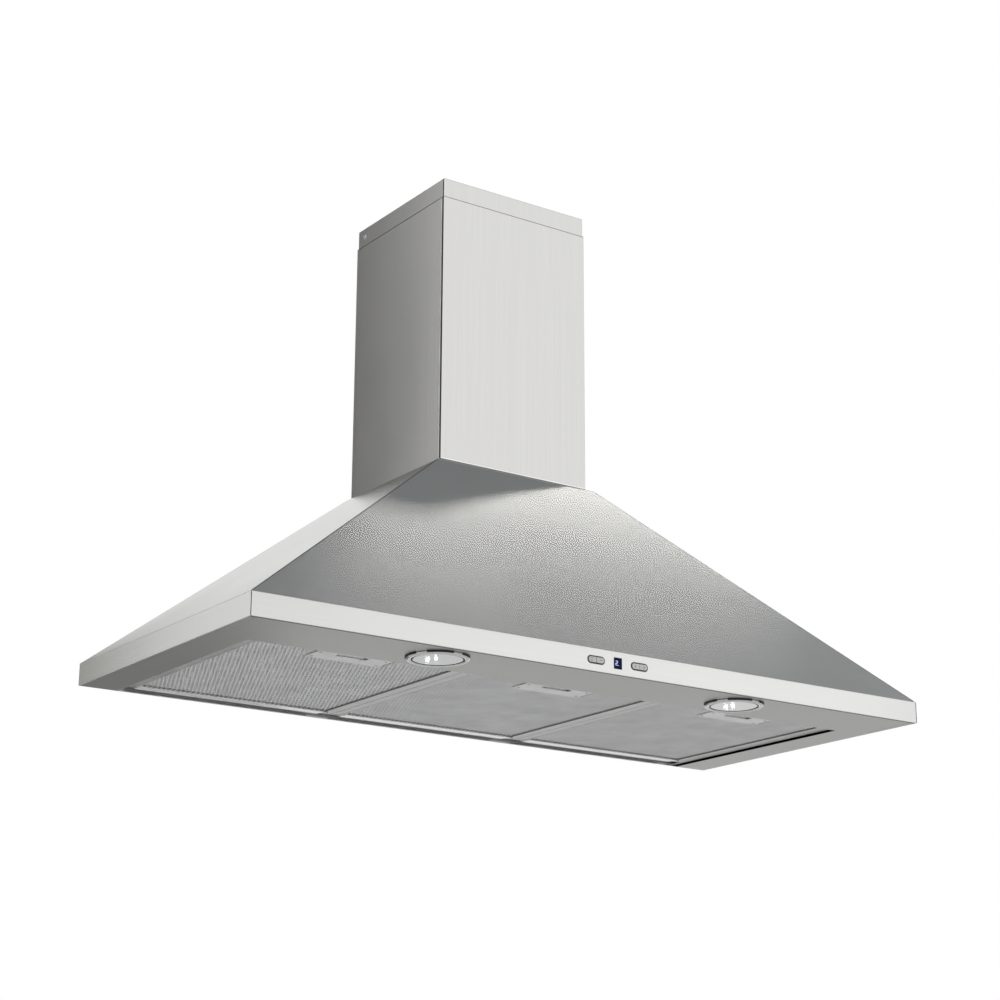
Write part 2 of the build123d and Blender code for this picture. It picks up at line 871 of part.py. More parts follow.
def make_display_window():
    with BuildPart() as display_window:
        with BuildSketch(Plane.XZ.offset(-band_inner_y)):
            with Locations((0, z_panel)):
                Rectangle(display_width, display_height)
        extrude(amount=display_thickness)
    save(display_window, "display_window")


def make_key(name, well_x, side):
    """A key cap in its half of the well, a flange behind the housing's front and a stem."""
    cap_centre = side * (key_well_length - 2 * key_well_wall) / 4
    with BuildPart() as key:
        front_y = -hood_depth - key_well_proud - key_proud
        with BuildSketch(Plane.XZ.offset(-key_flange_front_y)):
            with Locations((well_x, z_panel)):
                key_half(side)
        extrude(amount=key_flange_front_y - front_y)
        with BuildSketch(Plane.XZ.offset(-key_flange_front_y)):
            flange_width = key_well_length / 2 - key_split / 2
            with Locations((well_x + side * (flange_width + key_split) / 2, z_panel)):
                Rectangle(flange_width, key_flange_height)
        extrude(amount=-key_flange)
        with BuildSketch(Plane.XZ.offset(-key_flange_front_y)):
            with Locations((well_x + cap_centre, z_panel)):
                Rectangle(key_stem_width, key_stem_width)
        extrude(amount=-(key_flange + key_stem_length))
    save(key, f"key_{name}")


# ---------------------------------------------------------------- duct collar and flaps
def flange_octagon():
    """The outline shared by the collar's flange and the outlet adapter's."""
    RegularPolygon(collar_radius + collar_flange, collar_flange_sides, rotation=180 / collar_flange_sides)


def make_duct_collar():
    with BuildPart() as collar:
        with BuildSketch(Plane.XY.offset(z_top)):
            with Locations((0, collar_y)):
                flange_octagon()
        extrude(amount=collar_flange_sheet)
        with BuildSketch(Plane.XY.offset(z_top)):
            with Locations((0, collar_y)):
                Circle(collar_radius)
        extrude(amount=collar_height)
        with BuildSketch(Plane.XY.offset(z_top)):
            with Locations((0, collar_y)):
                Circle(collar_bore)
        extrude(amount=collar_height, mode=Mode.SUBTRACT)

        # Two lugs pressed in under the flaps hold them level.
        lug_top = z_flap - flap_sheet / 2 - cover_gap
        with BuildSketch(Plane.XY.offset(lug_top)):
            with Locations((0, collar_y)):
                with GridLocations(0, 2 * collar_bore - stop_lug_reach, 1, 2):
                    Rectangle(stop_lug, stop_lug_reach + collar_sheet)
        extrude(amount=-collar_sheet)

        with BuildSketch(Plane.YZ):
            with Locations((collar_y, z_flap)):
                Circle(flap_pin_radius + running_gap)
        extrude(amount=collar_radius, both=True, mode=Mode.SUBTRACT)
    save(collar, "duct_collar")

    with BuildPart() as flap_pin:
        with BuildSketch(Plane.YZ):
            with Locations((collar_y, z_flap)):
                Circle(flap_pin_radius)
        extrude(amount=collar_radius - collar_sheet / 2, both=True)
    save(flap_pin, "flap_pin")


def make_flap(name, side):
    """Half a disc on one side of the pin, with its knuckle beside that of the other flap."""
    plate_start = (flap_pin_radius + knuckle_radius) / 2
    knuckle_x = (knuckle_length + knuckle_end_gap) / 2
    notch_length = knuckle_length + 2 * knuckle_end_gap
    with BuildPart() as flap:
        with BuildSketch(Plane.XY.offset(z_flap - flap_sheet / 2)):
            with Locations((0, collar_y)):
                RegularPolygon(collar_bore - flap_gap, flap_sides)
            with Locations((0, collar_y + side * collar_radius)):
                Rectangle(2 * collar_radius, 2 * (collar_radius - plate_start), mode=Mode.INTERSECT)
            with Locations((-side * knuckle_x, collar_y)):
                Rectangle(notch_length, 2 * (knuckle_radius + knuckle_clearance), mode=Mode.SUBTRACT)
        extrude(amount=flap_sheet)
        with BuildSketch(Plane.YZ.offset(side * knuckle_x)):
            with Locations((collar_y, z_flap)):
                RegularPolygon(knuckle_radius, knuckle_sides)
        extrude(amount=knuckle_length / 2, both=True)
        with BuildSketch(Plane.YZ.offset(side * knuckle_x)):
            with Locations((collar_y, z_flap)):
                Circle(flap_pin_radius + running_gap)
        extrude(amount=knuckle_length / 2, both=True, mode=Mode.SUBTRACT)
    save(flap, f"flap_{name}")


# ---------------------------------------------------------------- blower
outlet_rear = volute_step / 2 + volute_first_radius + 3 * volute_step
outlet_z = z_outlet - fan_z


def arc_points(centre, radius, start, sweep):
    """Points at even steps along an arc, from just after its start to its end."""
    count = max(1, round(abs(sweep) / volute_facet_angle))
    angles = [radians(start + sweep * (i + 1) / count) for i in range(count)]
    return [(centre[0] + radius * cos(angle), centre[1] + radius * sin(angle)) for angle in angles]


def volute_outline():
    """The volute's centre line: outlet front wall, tongue, four growing quarters, outlet back wall."""
    half_step = volute_step / 2
    centres = [(-half_step, half_step), (-half_step, -half_step), (half_step, -half_step),
               (half_step, half_step)]
    radii = [volute_first_radius + i * volute_step for i in range(4)]

    # The tongue touches the outlet's front wall and the first arc.
    tongue_y = outlet_front - tongue_radius
    reach = radii[0] + tongue_radius
    offset_y = tongue_y - centres[0][0]
    tongue_z = centres[0][1] + sqrt(reach**2 - offset_y**2)
    start = degrees(atan2(tongue_z - centres[0][1], offset_y))

    points = [(outlet_front, outlet_z), (outlet_front, tongue_z)]
    points += arc_points((tongue_y, tongue_z), tongue_radius, 0, start - 180)
    points += arc_points(centres[0], radii[0], start, 90 - start)
    for centre, radius, angle in zip(centres[1:], radii[1:], (90, 180, 270)):
        points += arc_points(centre, radius, angle, 90)
    points.append((outlet_rear, outlet_z))
    return points


def make_blower_scroll():
    with BuildPart() as scroll:
        with BuildSketch(fan_face(0)):
            with BuildLine():
                Polyline(*volute_outline())
            trace(line_width=volute_sheet)
        extrude(amount=volute_half_width, both=True)
    save(scroll, "blower_scroll")


def make_blower_side(name, side):
    """A flat cheek of the volute with its round inlet."""
    with BuildPart() as cheek:
        with BuildSketch(fan_face(side * volute_half_width)):
            with BuildLine():
                Polyline(*volute_outline(), close=True)
            make_face()
            Circle(inlet_radius, mode=Mode.SUBTRACT)
        extrude(amount=side * volute_sheet)
    save(cheek, f"blower_side_{name}")


def make_inlet_guard():
    """A pressed plate of parallel bars over the left inlet."""
    slot_height = guard_pitch - guard_bar
    with BuildPart() as guard:
        with BuildSketch(fan_face(-volute_outer)):
            RegularPolygon(guard_radius, guard_sides)
            for i in range(guard_slots):
                offset = (i - (guard_slots - 1) / 2) * guard_pitch
                half_length = sqrt(guard_opening_radius**2 - (abs(offset) + slot_height / 2) ** 2)
                with Locations((0, offset)):
                    Rectangle(2 * half_length, slot_height, mode=Mode.SUBTRACT)
        extrude(amount=-guard_sheet)
    save(guard, "inlet_guard")


def make_motor_bracket():
    """Three arms from the right inlet's edge to the plate that carries the motor."""
    arm_length = guard_radius
    with BuildPart() as bracket:
        with BuildSketch(fan_face(volute_outer)):
            RegularPolygon(motor_seat_radius, 2 * arm_count)
            with PolarLocations(arm_length / 2, arm_count, start_angle=90):
                Rectangle(arm_length, arm_width)
        extrude(amount=guard_sheet)
    save(bracket, "motor_bracket")


def make_motor():
    """The motor stands inside the fan, its nose towards the hub and its back on the bracket."""
    nose_end = motor_nose + motor_boss_length
    with BuildPart() as motor:
        with BuildSketch(fan_face(motor_nose)):
            RegularPolygon(motor_boss_radius, motor_sides)
        extrude(amount=motor_boss_length)
        with BuildSketch(fan_face(nose_end)):
            RegularPolygon(motor_radius, motor_sides)
        extrude(amount=volute_outer - nose_end)
    save(motor, "motor")

    with BuildPart() as motor_shaft:
        with BuildSketch(fan_face(-hub_left - shaft_overhang)):
            Circle(shaft_radius)
        extrude(amount=hub_left + shaft_overhang + motor_nose - motor_shaft_gap)
    save(motor_shaft, "motor_shaft")


def make_impeller():
    """A double-inlet fan wheel: forward-curved blades through a middle disc, a ring at each end."""
    outer = fan_radius - blade_sheet
    middle = (outer + blade_inner_radius) / 2
    lead = radians(blade_lead)
    with BuildSketch(mode=Mode.PRIVATE) as blade:
        with BuildLine():
            Polyline(
                (blade_inner_radius, 0),
                (middle, middle * sin(lead / 2) - blade_bow),
                (outer * cos(lead), outer * sin(lead)),
            )
        trace(line_width=blade_sheet)
    with BuildPart() as impeller:
        with BuildSketch(fan_face(0)):
            with PolarLocations(0, blade_count):
                add(blade.sketch)
        extrude(amount=fan_half_length - fan_ring_width / 2, both=True)
        with BuildSketch(fan_face(0)):
            RegularPolygon(blade_inner_radius + disc_lap, blade_count)
        extrude(amount=fan_disc_sheet / 2, both=True)
        for side in (-1, 1):
            with BuildSketch(fan_face(side * fan_half_length)):
                RegularPolygon(fan_radius, blade_count)
                RegularPolygon(blade_inner_radius - ring_lap, blade_count, mode=Mode.SUBTRACT)
            extrude(amount=-side * fan_ring_width)
        with BuildSketch(fan_face(-hub_left)):
            RegularPolygon(hub_radius, hub_sides)
        extrude(amount=hub_left + hub_right)
        with BuildSketch(fan_face(-hub_left)):
            Circle(shaft_radius + shaft_fit)
        extrude(amount=hub_left + hub_right, mode=Mode.SUBTRACT)
    save(impeller, "impeller")


def make_run_capacitor():
    """A moulded block on the left cheek, below and in front of the inlet."""
    with BuildPart() as capacitor:
        with BuildSketch(fan_face(-volute_outer)):
            with PolarLocations(capacitor_orbit, 1, start_angle=capacitor_angle):
                Rectangle(capacitor_thickness, capacitor_width)
        extrude(amount=-capacitor_length)
    save(capacitor, "run_capacitor")


def transition(grow):
    """From the outlet's rectangle to a many-sided mouth: four flat sides and four fanned corners."""
    half_width = volute_outer + adapter_fit + grow
    front_y = fan_y + outlet_front - volute_sheet / 2 - adapter_fit - grow
    rear_y = fan_y + outlet_rear + volute_sheet / 2 + adapter_fit + grow
    corners = [
        (half_width, rear_y, z_outlet),
        (-half_width, rear_y, z_outlet),
        (-half_width, front_y, z_outlet),
        (half_width, front_y, z_outlet),
    ]
    mouth_radius = collar_bore + grow
    rim = [
        (mouth_radius * cos(angle), collar_y + mouth_radius * sin(angle), z_top - sheet)
        for angle in (radians(90 * i / adapter_facets) for i in range(4 * adapter_facets))
    ]
    outlines = [corners, rim]
    for i, corner in enumerate(corners):
        quarter = [rim[(i * adapter_facets + k) % len(rim)] for k in range(adapter_facets + 1)]
        outlines += [[corner, start, end] for start, end in zip(quarter, quarter[1:])]
        outlines.append([corner, quarter[-1], corners[(i + 1) % len(corners)]])
    return faceted_solid(outlines)


def make_outlet_adapter():
    """From a skirt round the volute's outlet up to a flange under the canopy's top plate."""
    inner_width = 2 * (volute_outer + adapter_fit)
    inner_depth = outlet_rear - outlet_front + volute_sheet + 2 * adapter_fit
    with BuildPart() as adapter:
        add(transition(adapter_sheet))
        with BuildSketch(Plane.XY.offset(z_top - sheet)):
            with Locations((0, collar_y)):
                flange_octagon()
        extrude(amount=-adapter_sheet)
        with BuildSketch(Plane.XY.offset(z_outlet)):
            with Locations((0, fan_y + (outlet_front + outlet_rear) / 2)):
                Rectangle(inner_width + 2 * adapter_sheet, inner_depth + 2 * adapter_sheet)
        extrude(amount=-adapter_skirt)
        add(transition(0), mode=Mode.SUBTRACT)
        with BuildSketch(Plane.XY.offset(z_outlet)):
            with Locations((0, fan_y + (outlet_front + outlet_rear) / 2)):
                Rectangle(inner_width, inner_depth)
        extrude(amount=-adapter_skirt, mode=Mode.SUBTRACT)
    save(adapter, "outlet_adapter")


# ---------------------------------------------------------------- electrics
def make_power_box():
    """A moulded box on the rear panel, left of the blower, with a lid lapped over its edge."""
    centre_z = z_bottom + power_box_base + power_box_height / 2
    with BuildPart() as power_box:
        with BuildSketch(Plane.XZ.offset(sheet)):
            with Locations((power_box_centre_x, centre_z)):
                Rectangle(power_box_width, power_box_height)
        extrude(amount=power_box_depth)
        chamfer(power_box.edges().filter_by(Axis.Y), length=box_chamfer)
    save(power_box, "power_box")

    with BuildPart() as lid:
        with BuildSketch(Plane.XZ.offset(sheet + power_box_depth)):
            with Locations((power_box_centre_x, centre_z)):
                Rectangle(power_box_width + 2 * power_lid_overlap, power_box_height + 2 * power_lid_overlap)
        extrude(amount=power_lid)
        chamfer(lid.edges().filter_by(Axis.Y), length=box_chamfer)
    save(lid, "power_box_lid")


def make_cord_gland():
    """A gland through the canopy's top plate: locknut below, hexagon and cap nut above."""
    with BuildPart() as gland:
        with BuildSketch(Plane.XY.offset(z_top - sheet - gland_lock_height)):
            with Locations((gland_x, gland_y)):
                RegularPolygon(gland_nut_radius, 6)
        extrude(amount=gland_lock_height)
        with BuildSketch(Plane.XY.offset(z_top - sheet)):
            with Locations((gland_x, gland_y)):
                Circle(gland_body_radius)
        extrude(amount=sheet)
        with BuildSketch(Plane.XY.offset(z_top)):
            with Locations((gland_x, gland_y)):
                RegularPolygon(gland_nut_radius, 6)
        extrude(amount=gland_nut_height)
        with BuildSketch(Plane.XY.offset(z_top + gland_nut_height)):
            with Locations((gland_x, gland_y)):
                RegularPolygon(gland_cap_radius, 6)
        extrude(amount=gland_cap_height)
        with BuildSketch(Plane.XY.offset(z_top - sheet - gland_lock_height)):
            with Locations((gland_x, gland_y)):
                Circle(gland_bore_radius)
        extrude(amount=gland_lock_height + sheet + gland_nut_height + gland_cap_height, mode=Mode.SUBTRACT)
    save(gland, "cord_gland")


# ---------------------------------------------------------------- all pieces
os.makedirs("parts", exist_ok=True)

make_canopy()
make_underside_frame()
make_rear_panel()
make_lower_cover()
make_upper_cover()
make_upper_bracket()
make_filter_rail()
for filter_name, filter_x in zip(filter_names, filter_centres()):
    make_filter_frame(filter_name, filter_x)
    make_filter_mesh(filter_name, filter_x)
    make_latch_plate(filter_name, filter_x)
    make_latch_slider(filter_name, filter_x)
    make_latch_spring(filter_name, filter_x)
make_lamp_rings()
make_lamp_lenses()
make_lamp_reflectors()
make_control_housing()
make_control_board()
make_display_window()
for key_name, key_well_x, key_side in key_places():
    make_key(key_name, key_well_x, key_side)
make_duct_collar()
make_flap("front", -1)
make_flap("rear", 1)
make_blower_scroll()
make_blower_side("left", -1)
make_blower_side("right", 1)
make_inlet_guard()
make_motor_bracket()
make_motor()
make_impeller()
make_run_capacitor()
make_outlet_adapter()
make_power_box()
make_cord_gland()
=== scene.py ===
"""Looks for the chimney range hood: brushed steel, filter mesh, lamps, keys and small hardware."""
import math
import random

import bpy
from mathutils import Matrix, Vector


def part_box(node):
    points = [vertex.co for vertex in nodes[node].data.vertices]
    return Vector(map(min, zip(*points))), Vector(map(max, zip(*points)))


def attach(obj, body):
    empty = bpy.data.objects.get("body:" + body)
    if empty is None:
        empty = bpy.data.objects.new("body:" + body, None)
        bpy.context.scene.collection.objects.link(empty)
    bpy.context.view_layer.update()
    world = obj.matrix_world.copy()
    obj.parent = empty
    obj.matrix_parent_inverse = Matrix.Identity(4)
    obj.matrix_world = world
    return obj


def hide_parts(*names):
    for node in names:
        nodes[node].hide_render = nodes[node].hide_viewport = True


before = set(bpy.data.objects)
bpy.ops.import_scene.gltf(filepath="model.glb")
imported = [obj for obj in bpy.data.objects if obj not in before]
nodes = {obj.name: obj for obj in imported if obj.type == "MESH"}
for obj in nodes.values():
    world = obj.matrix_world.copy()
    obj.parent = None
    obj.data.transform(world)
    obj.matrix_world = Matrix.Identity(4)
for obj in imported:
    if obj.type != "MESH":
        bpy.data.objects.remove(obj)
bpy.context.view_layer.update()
random.seed(7)

MM = 0.001
SIDES = ("left", "middle", "right")
KEYS = ("light", "minus", "plus", "power")

# Sizes of the part in millimetres.
BAND_HEIGHT, SLOPE_HEIGHT, SLOPE_RUN, COVER_FOOT = 25, 250, 338, 75
FAN_Y, FAN_Z, VOLUTE_HALF, COLLAR_Y = -172, -60, 65, -100
LENS_FACE = -202.3
UPPER_SCREW_Z = 424.2

# ---------------------------------------------------------------- camera
camera_data = bpy.data.cameras.new("camera")
camera_data.sensor_width = 36
camera_data.lens = 79.1307
camera = bpy.data.objects.new("camera", camera_data)
camera.location = (-1.43057, -2.23018, -0.71804)
camera.rotation_euler = (1.8693, -0.00438, -0.60829)
bpy.context.scene.collection.objects.link(camera)
bpy.context.scene.camera = camera
bpy.context.scene.view_settings.view_transform = "Standard"


# ---------------------------------------------------------------- node graphs
class Graph:
    """A node tree that is filled with short calls."""

    def __init__(self, tree):
        self.tree = tree

    def add(self, kind, inputs=None, **settings):
        item = self.tree.nodes.new(kind)
        for key, value in settings.items():
            setattr(item, key, value)
        for key, value in (inputs or {}).items():
            self.set(item.inputs[key], value)
        return item

    def set(self, socket, value):
        if isinstance(value, bpy.types.NodeSocket):
            self.tree.links.new(value, socket)
        else:
            socket.default_value = value

    def math(self, operation, a, b=0.0, clamp=False):
        item = self.add("ShaderNodeMath", {0: a, 1: b}, operation=operation, use_clamp=clamp)
        return item.outputs[0]

    def vector(self, operation, a, b=(0.0, 0.0, 0.0)):
        item = self.add("ShaderNodeVectorMath", {0: a, 1: b}, operation=operation)
        return item.outputs[1 if operation in ("DOT_PRODUCT", "LENGTH") else 0]

    def mix(self, factor, a, b):
        item = self.add("ShaderNodeMix", {0: factor, 6: a, 7: b}, data_type="RGBA")
        return item.outputs[2]

    def mix_vector(self, factor, a, b):
        item = self.add("ShaderNodeMix", {0: factor, 4: a, 5: b}, data_type="VECTOR")
        return item.outputs[1]

    def span(self, value, low, high, to_low=0.0, to_high=1.0):
        inputs = {"Value": value, "From Min": low, "From Max": high, "To Min": to_low, "To Max": to_high}
        return self.add("ShaderNodeMapRange", inputs).outputs[0]

    def noise(self, place, scale, detail=2.0, roughness=0.5):
        inputs = {"Vector": place, "Scale": scale, "Detail": detail, "Roughness": roughness}
        return self.add("ShaderNodeTexNoise", inputs).outputs[0]

    def ramp(self, factor, stops):
        item = self.add("ShaderNodeValToRGB", {0: factor})
        ramp = item.color_ramp
        while len(ramp.elements) < len(stops):
            ramp.elements.new(0.5)
        for element, (position, color) in zip(ramp.elements, stops):
            element.position = position
            element.color = (*color, 1.0) if len(color) == 3 else color
        return item.outputs[0]


class Paint(Graph):
    """A material: its shader, its object coordinates and what most surfaces share."""

    def __init__(self, name, roughness=0.5, metallic=0.0):
        self.material = bpy.data.materials.new(name)
        self.material.use_nodes = True
        super().__init__(self.material.node_tree)
        self.shader = self.tree.nodes["Principled BSDF"]
        self.shader.inputs["Metallic"].default_value = metallic
        self.shader.inputs["Roughness"].default_value = roughness
        self.place = self.add("ShaderNodeTexCoord").outputs["Object"]
        self.axes = self.add("ShaderNodeSeparateXYZ", {0: self.place}).outputs
        self.normal = self.add("ShaderNodeNewGeometry").outputs["Normal"]

    def put(self, name, value):
        self.set(self.shader.inputs[name], value)

    def stretched(self, scale):
        return self.vector("MULTIPLY", self.place, scale)

    def edge(self, radius):
        """1 on sharp edges and 0 on flats, and the rounded normal."""
        rounded = self.add("ShaderNodeBevel", {"Radius": radius}, samples=4).outputs[0]
        likeness = self.vector("DOT_PRODUCT", rounded, self.normal)
        return self.span(likeness, 1.0, 0.86), rounded

    def bump(self, height, strength, distance, normal=None):
        inputs = {"Height": height, "Strength": strength, "Distance": distance}
        if normal is not None:
            inputs["Normal"] = normal
        self.put("Normal", self.add("ShaderNodeBump", inputs).outputs[0])


def shade(color, factor):
    return tuple(min(1.0, c * factor) for c in color[:3]) + (1.0,)


GRAIN = {"X": (1.0, 0.0, 0.0), "Y": (0.0, 1.0, 0.0), "Z": (0.0, 0.0, 1.0)}


def grain_scale(axis, along, across):
    return tuple(along if part else across for part in GRAIN[axis])


def brushed(name, color, axis, roughness=0.27, second=None, second_from=0.0, contrast=1.0):
    """Brushed sheet. Where |x| passes second_from the grain turns to the second axis."""
    p = Paint(name, metallic=1.0)
    turn = None
    if second:
        turn = p.math("GREATER_THAN", p.math("ABSOLUTE", p.axes[0]), second_from)

    def streaks(along, across, detail):
        place = p.stretched(grain_scale(axis, along, across))
        if second:
            place = p.mix_vector(turn, place, p.stretched(grain_scale(second, along, across)))
        return p.noise(place, 1.0, detail)

    fine = streaks(9.0, 1250.0, 1.0)
    middle = streaks(3.0, 420.0, 1.0)
    broad = streaks(1.0, 60.0, 1.0)
    smudge = p.noise(p.place, 5.0, 3.0, 0.5)
    lines = p.math("ADD", p.math("MULTIPLY", fine, 0.5), p.math("MULTIPLY", middle, 0.5))
    lines = p.span(lines, 0.3, 0.7)
    edge, rounded = p.edge(0.0009)

    low = shade(color, 1.0 - 0.06 * contrast)
    high = shade(color, 1.0 + 0.05 * contrast)
    tone = p.mix(lines, low, high)
    tone = p.mix(p.span(broad, 0.3, 0.7, 0.0, 0.3 * contrast), tone, shade(color, 0.94))
    # Sharp edges are lightened in colour: a painted highlight.
    tone = p.mix(p.math("MULTIPLY", edge, 0.6), tone, shade(color, 1.15))
    p.put("Base Color", tone)

    rough = p.span(lines, 0.0, 1.0, roughness - 0.02 * contrast, roughness + 0.02 * contrast)
    rough = p.math("ADD", rough, p.span(smudge, 0.3, 0.8, 0.0, 0.03))
    rough = p.math("SUBTRACT", rough, p.math("MULTIPLY", edge, 0.08))
    p.put("Roughness", rough)

    p.shader.inputs["Anisotropic"].default_value = 0.55
    across = p.vector("CROSS_PRODUCT", p.normal, GRAIN[axis])
    if second:
        across = p.mix_vector(turn, across, p.vector("CROSS_PRODUCT", p.normal, GRAIN[second]))
    p.put("Tangent", p.vector("NORMALIZE", across))

    height = p.math("ADD", fine, p.math("MULTIPLY", middle, 0.8))
    p.bump(height, 0.02 * contrast, 0.00002, rounded)
    return p.material


def satin(name, color, roughness=0.34, pits=900.0, edge_radius=0.0004):
    """Satin aluminium with fine pits, handling marks and edges lightened in colour as a painted highlight."""
    p = Paint(name, metallic=1.0)
    grain = p.noise(p.place, pits, 3.0, 0.6)
    cloud = p.noise(p.place, 26.0, 4.0, 0.6)
    edge, rounded = p.edge(edge_radius)
    tone = p.mix(p.span(cloud, 0.3, 0.7), shade(color, 0.9), shade(color, 1.05))
    # Sharp edges are lightened in colour: a painted highlight.
    tone = p.mix(p.math("MULTIPLY", edge, 0.5), tone, shade(color, 1.2))
    p.put("Base Color", tone)
    p.put("Roughness", p.math("ADD", p.span(grain, 0.2, 0.8, roughness - 0.06, roughness + 0.08),
                              p.span(cloud, 0.3, 0.8, 0.0, 0.06)))
    p.bump(p.math("ADD", grain, p.math("MULTIPLY", cloud, 0.5)), 0.12, 0.00005, rounded)
    return p.material


def zinc(name, color, dark_below=None):
    """Galvanised sheet: crystal spangles of slightly different greys and random stains, and below a given
    height darkened as painted shade.
    """
    p = Paint(name, metallic=1.0)
    cells = p.add("ShaderNodeTexVoronoi", {"Vector": p.place, "Scale": 95.0})
    spangle = p.add("ShaderNodeSeparateXYZ", {0: cells.outputs["Color"]}).outputs[0]
    dust = p.noise(p.place, 320.0, 3.0, 0.6)
    stain = p.noise(p.place, 9.0, 4.0, 0.6)
    edge, rounded = p.edge(0.0005)
    tone = p.mix(spangle, shade(color, 0.86), shade(color, 1.10))
    tone = p.mix(p.span(stain, 0.45, 0.8, 0.0, 0.4), tone, shade(color, 0.8))
    # Sharp edges are lightened in colour: a painted highlight.
    tone = p.mix(p.math("MULTIPLY", edge, 0.5), tone, shade(color, 1.2))
    # Below the given height the colour is darkened: painted shade at the panel's foot.
    if dark_below is not None:
        height = p.math("ADD", p.axes[2], p.math("MULTIPLY", stain, 0.01))
        painted_shade = p.span(height, dark_below + 0.01, dark_below)
        tone = p.mix(painted_shade, tone, shade(color, 0.85))
    p.put("Base Color", tone)
    p.put("Roughness", p.math("ADD", p.span(spangle, 0.0, 1.0, 0.36, 0.5), p.span(dust, 0.3, 0.8, 0.0, 0.08)))
    p.bump(p.math("ADD", p.math("MULTIPLY", spangle, 0.5), dust), 0.10, 0.00008, rounded)
    return p.material


def moulded(name, color, roughness=0.5, texture=1400.0, depth=0.12, edge_radius=0.0004):
    """Moulded plastic: spark-eroded texture, faint flow marks and edges lightened in colour as a painted
    highlight.
    """
    p = Paint(name, roughness)
    p.shader.inputs["Specular IOR Level"].default_value = 0.45
    grain = p.noise(p.place, texture, 2.0, 0.5)
    flow = p.noise(p.place, 18.0, 3.0, 0.5)
    edge, rounded = p.edge(edge_radius)
    tone = p.mix(p.span(flow, 0.3, 0.7), shade(color, 0.88), shade(color, 1.10))
    # Sharp edges are lightened in colour: a painted highlight.
    tone = p.mix(p.math("MULTIPLY", edge, 0.4), tone, shade([c + 0.03 for c in color[:3]], 1.35))
    p.put("Base Color", tone)
    p.put("Roughness", p.math("ADD", p.span(grain, 0.2, 0.8, roughness - 0.08, roughness + 0.08),
                              p.span(flow, 0.3, 0.8, 0.0, 0.06)))
    p.bump(grain, depth, 0.00006, rounded)
    return p.material


def enamel(name, color, roughness=0.32):
    """Powder paint with orange peel and a few rubbed spots on the edges."""
    p = Paint(name, roughness)
    peel = p.noise(p.place, 420.0, 2.0, 0.5)
    wear = p.noise(p.place, 120.0, 4.0, 0.7)
    edge, rounded = p.edge(0.0005)
    rubbed = p.math("MULTIPLY", edge, p.span(wear, 0.45, 0.6))
    tone = p.mix(p.span(wear, 0.3, 0.7), shade(color, 0.9), shade(color, 1.08))
    p.put("Base Color", p.mix(rubbed, tone, (0.45, 0.45, 0.46, 1.0)))
    p.put("Roughness", p.span(peel, 0.2, 0.8, roughness - 0.06, roughness + 0.10))
    p.bump(peel, 0.15, 0.00008, rounded)
    return p.material


def polished(name, color, roughness=0.06, ripples=0.03, ripple_scale=60.0):
    """Chrome or a polished bowl: nearly clean, with faint ripples and wiping marks."""
    p = Paint(name, metallic=1.0)
    ripple = p.noise(p.place, ripple_scale, 2.0, 0.4)
    wipe = p.noise(p.stretched((30.0, 600.0, 300.0)), 1.0, 3.0, 0.6)
    rounded = p.edge(0.0003)[1]
    p.put("Base Color", p.mix(p.span(wipe, 0.3, 0.8), shade(color, 0.96), shade(color, 1.04)))
    p.put("Roughness", p.span(wipe, 0.3, 0.8, roughness, roughness + 0.07))
    p.bump(ripple, ripples, 0.0002, rounded)
    return p.material


def clear_glass(name, color, roughness=0.05, frost=0.0):
    """Pressed glass with faint waves; frost adds a light scatter."""
    p = Paint(name, roughness)
    p.shader.inputs["Transmission Weight"].default_value = 1.0
    p.shader.inputs["IOR"].default_value = 1.47
    wave = p.noise(p.place, 150.0, 2.0, 0.4)
    speck = p.noise(p.place, 900.0, 2.0, 0.5)
    p.put("Base Color", p.mix(p.span(wave, 0.3, 0.7), shade(color, 0.97), shade(color, 1.02)))
    p.put("Roughness", p.span(speck, 0.3, 0.8, roughness, roughness + 0.06 + frost))
    p.bump(wave, 0.05, 0.0002)
    return p.material


def dark_window(name):
    """The display's smoked window, deep blue, with a faint inner mottling."""
    p = Paint(name, 0.12)
    p.shader.inputs["Specular IOR Level"].default_value = 0.06
    glow = p.noise(p.place, 240.0, 2.0, 0.5)
    dust = p.noise(p.place, 2200.0, 1.0, 0.5)
    p.put("Base Color", p.mix(p.span(glow, 0.3, 0.7), (0.003, 0.004, 0.040, 1), (0.006, 0.010, 0.075, 1)))
    p.put("Roughness", p.span(dust, 0.3, 0.8, 0.08, 0.18))
    return p.material


def faintly_lit(name, color):
    """A faintly lit surface: the display's digit and the pearl glass of the bulbs."""
    p = Paint(name, 0.4)
    grain = p.noise(p.place, 1800.0, 1.0, 0.5)
    tone = p.mix(p.span(grain, 0.3, 0.7), shade(color, 0.9), shade(color, 1.0))
    p.put("Base Color", tone)
    p.put("Emission Color", tone)
    p.shader.inputs["Emission Strength"].default_value = 0.8
    return p.material


def circuit(name):
    """Green board with lighter tracks."""
    p = Paint(name, 0.4)
    tracks = p.add("ShaderNodeTexBrick", {"Vector": p.place, "Scale": 160.0, "Mortar Size": 0.03})
    p.set(tracks.inputs["Color1"], (0.012, 0.085, 0.03, 1))
    p.set(tracks.inputs["Color2"], (0.018, 0.11, 0.04, 1))
    p.set(tracks.inputs["Mortar"], (0.05, 0.22, 0.09, 1))
    grain = p.noise(p.place, 600.0, 2.0, 0.5)
    p.put("Base Color", tracks.outputs["Color"])
    p.put("Roughness", p.span(grain, 0.2, 0.8, 0.3, 0.5))
    p.bump(tracks.outputs["Fac"], 0.1, 0.0001)
    return p.material


def pale_floor(name):
    """Matt studio floor with a hardly visible cloudiness."""
    p = Paint(name, 0.85)
    cloud = p.noise(p.place, 1.3, 4.0, 0.5)
    p.put("Base Color", p.mix(cloud, (0.80, 0.80, 0.79, 1), (0.84, 0.84, 0.835, 1)))
    p.shader.inputs["Specular IOR Level"].default_value = 0.2
    return p.material


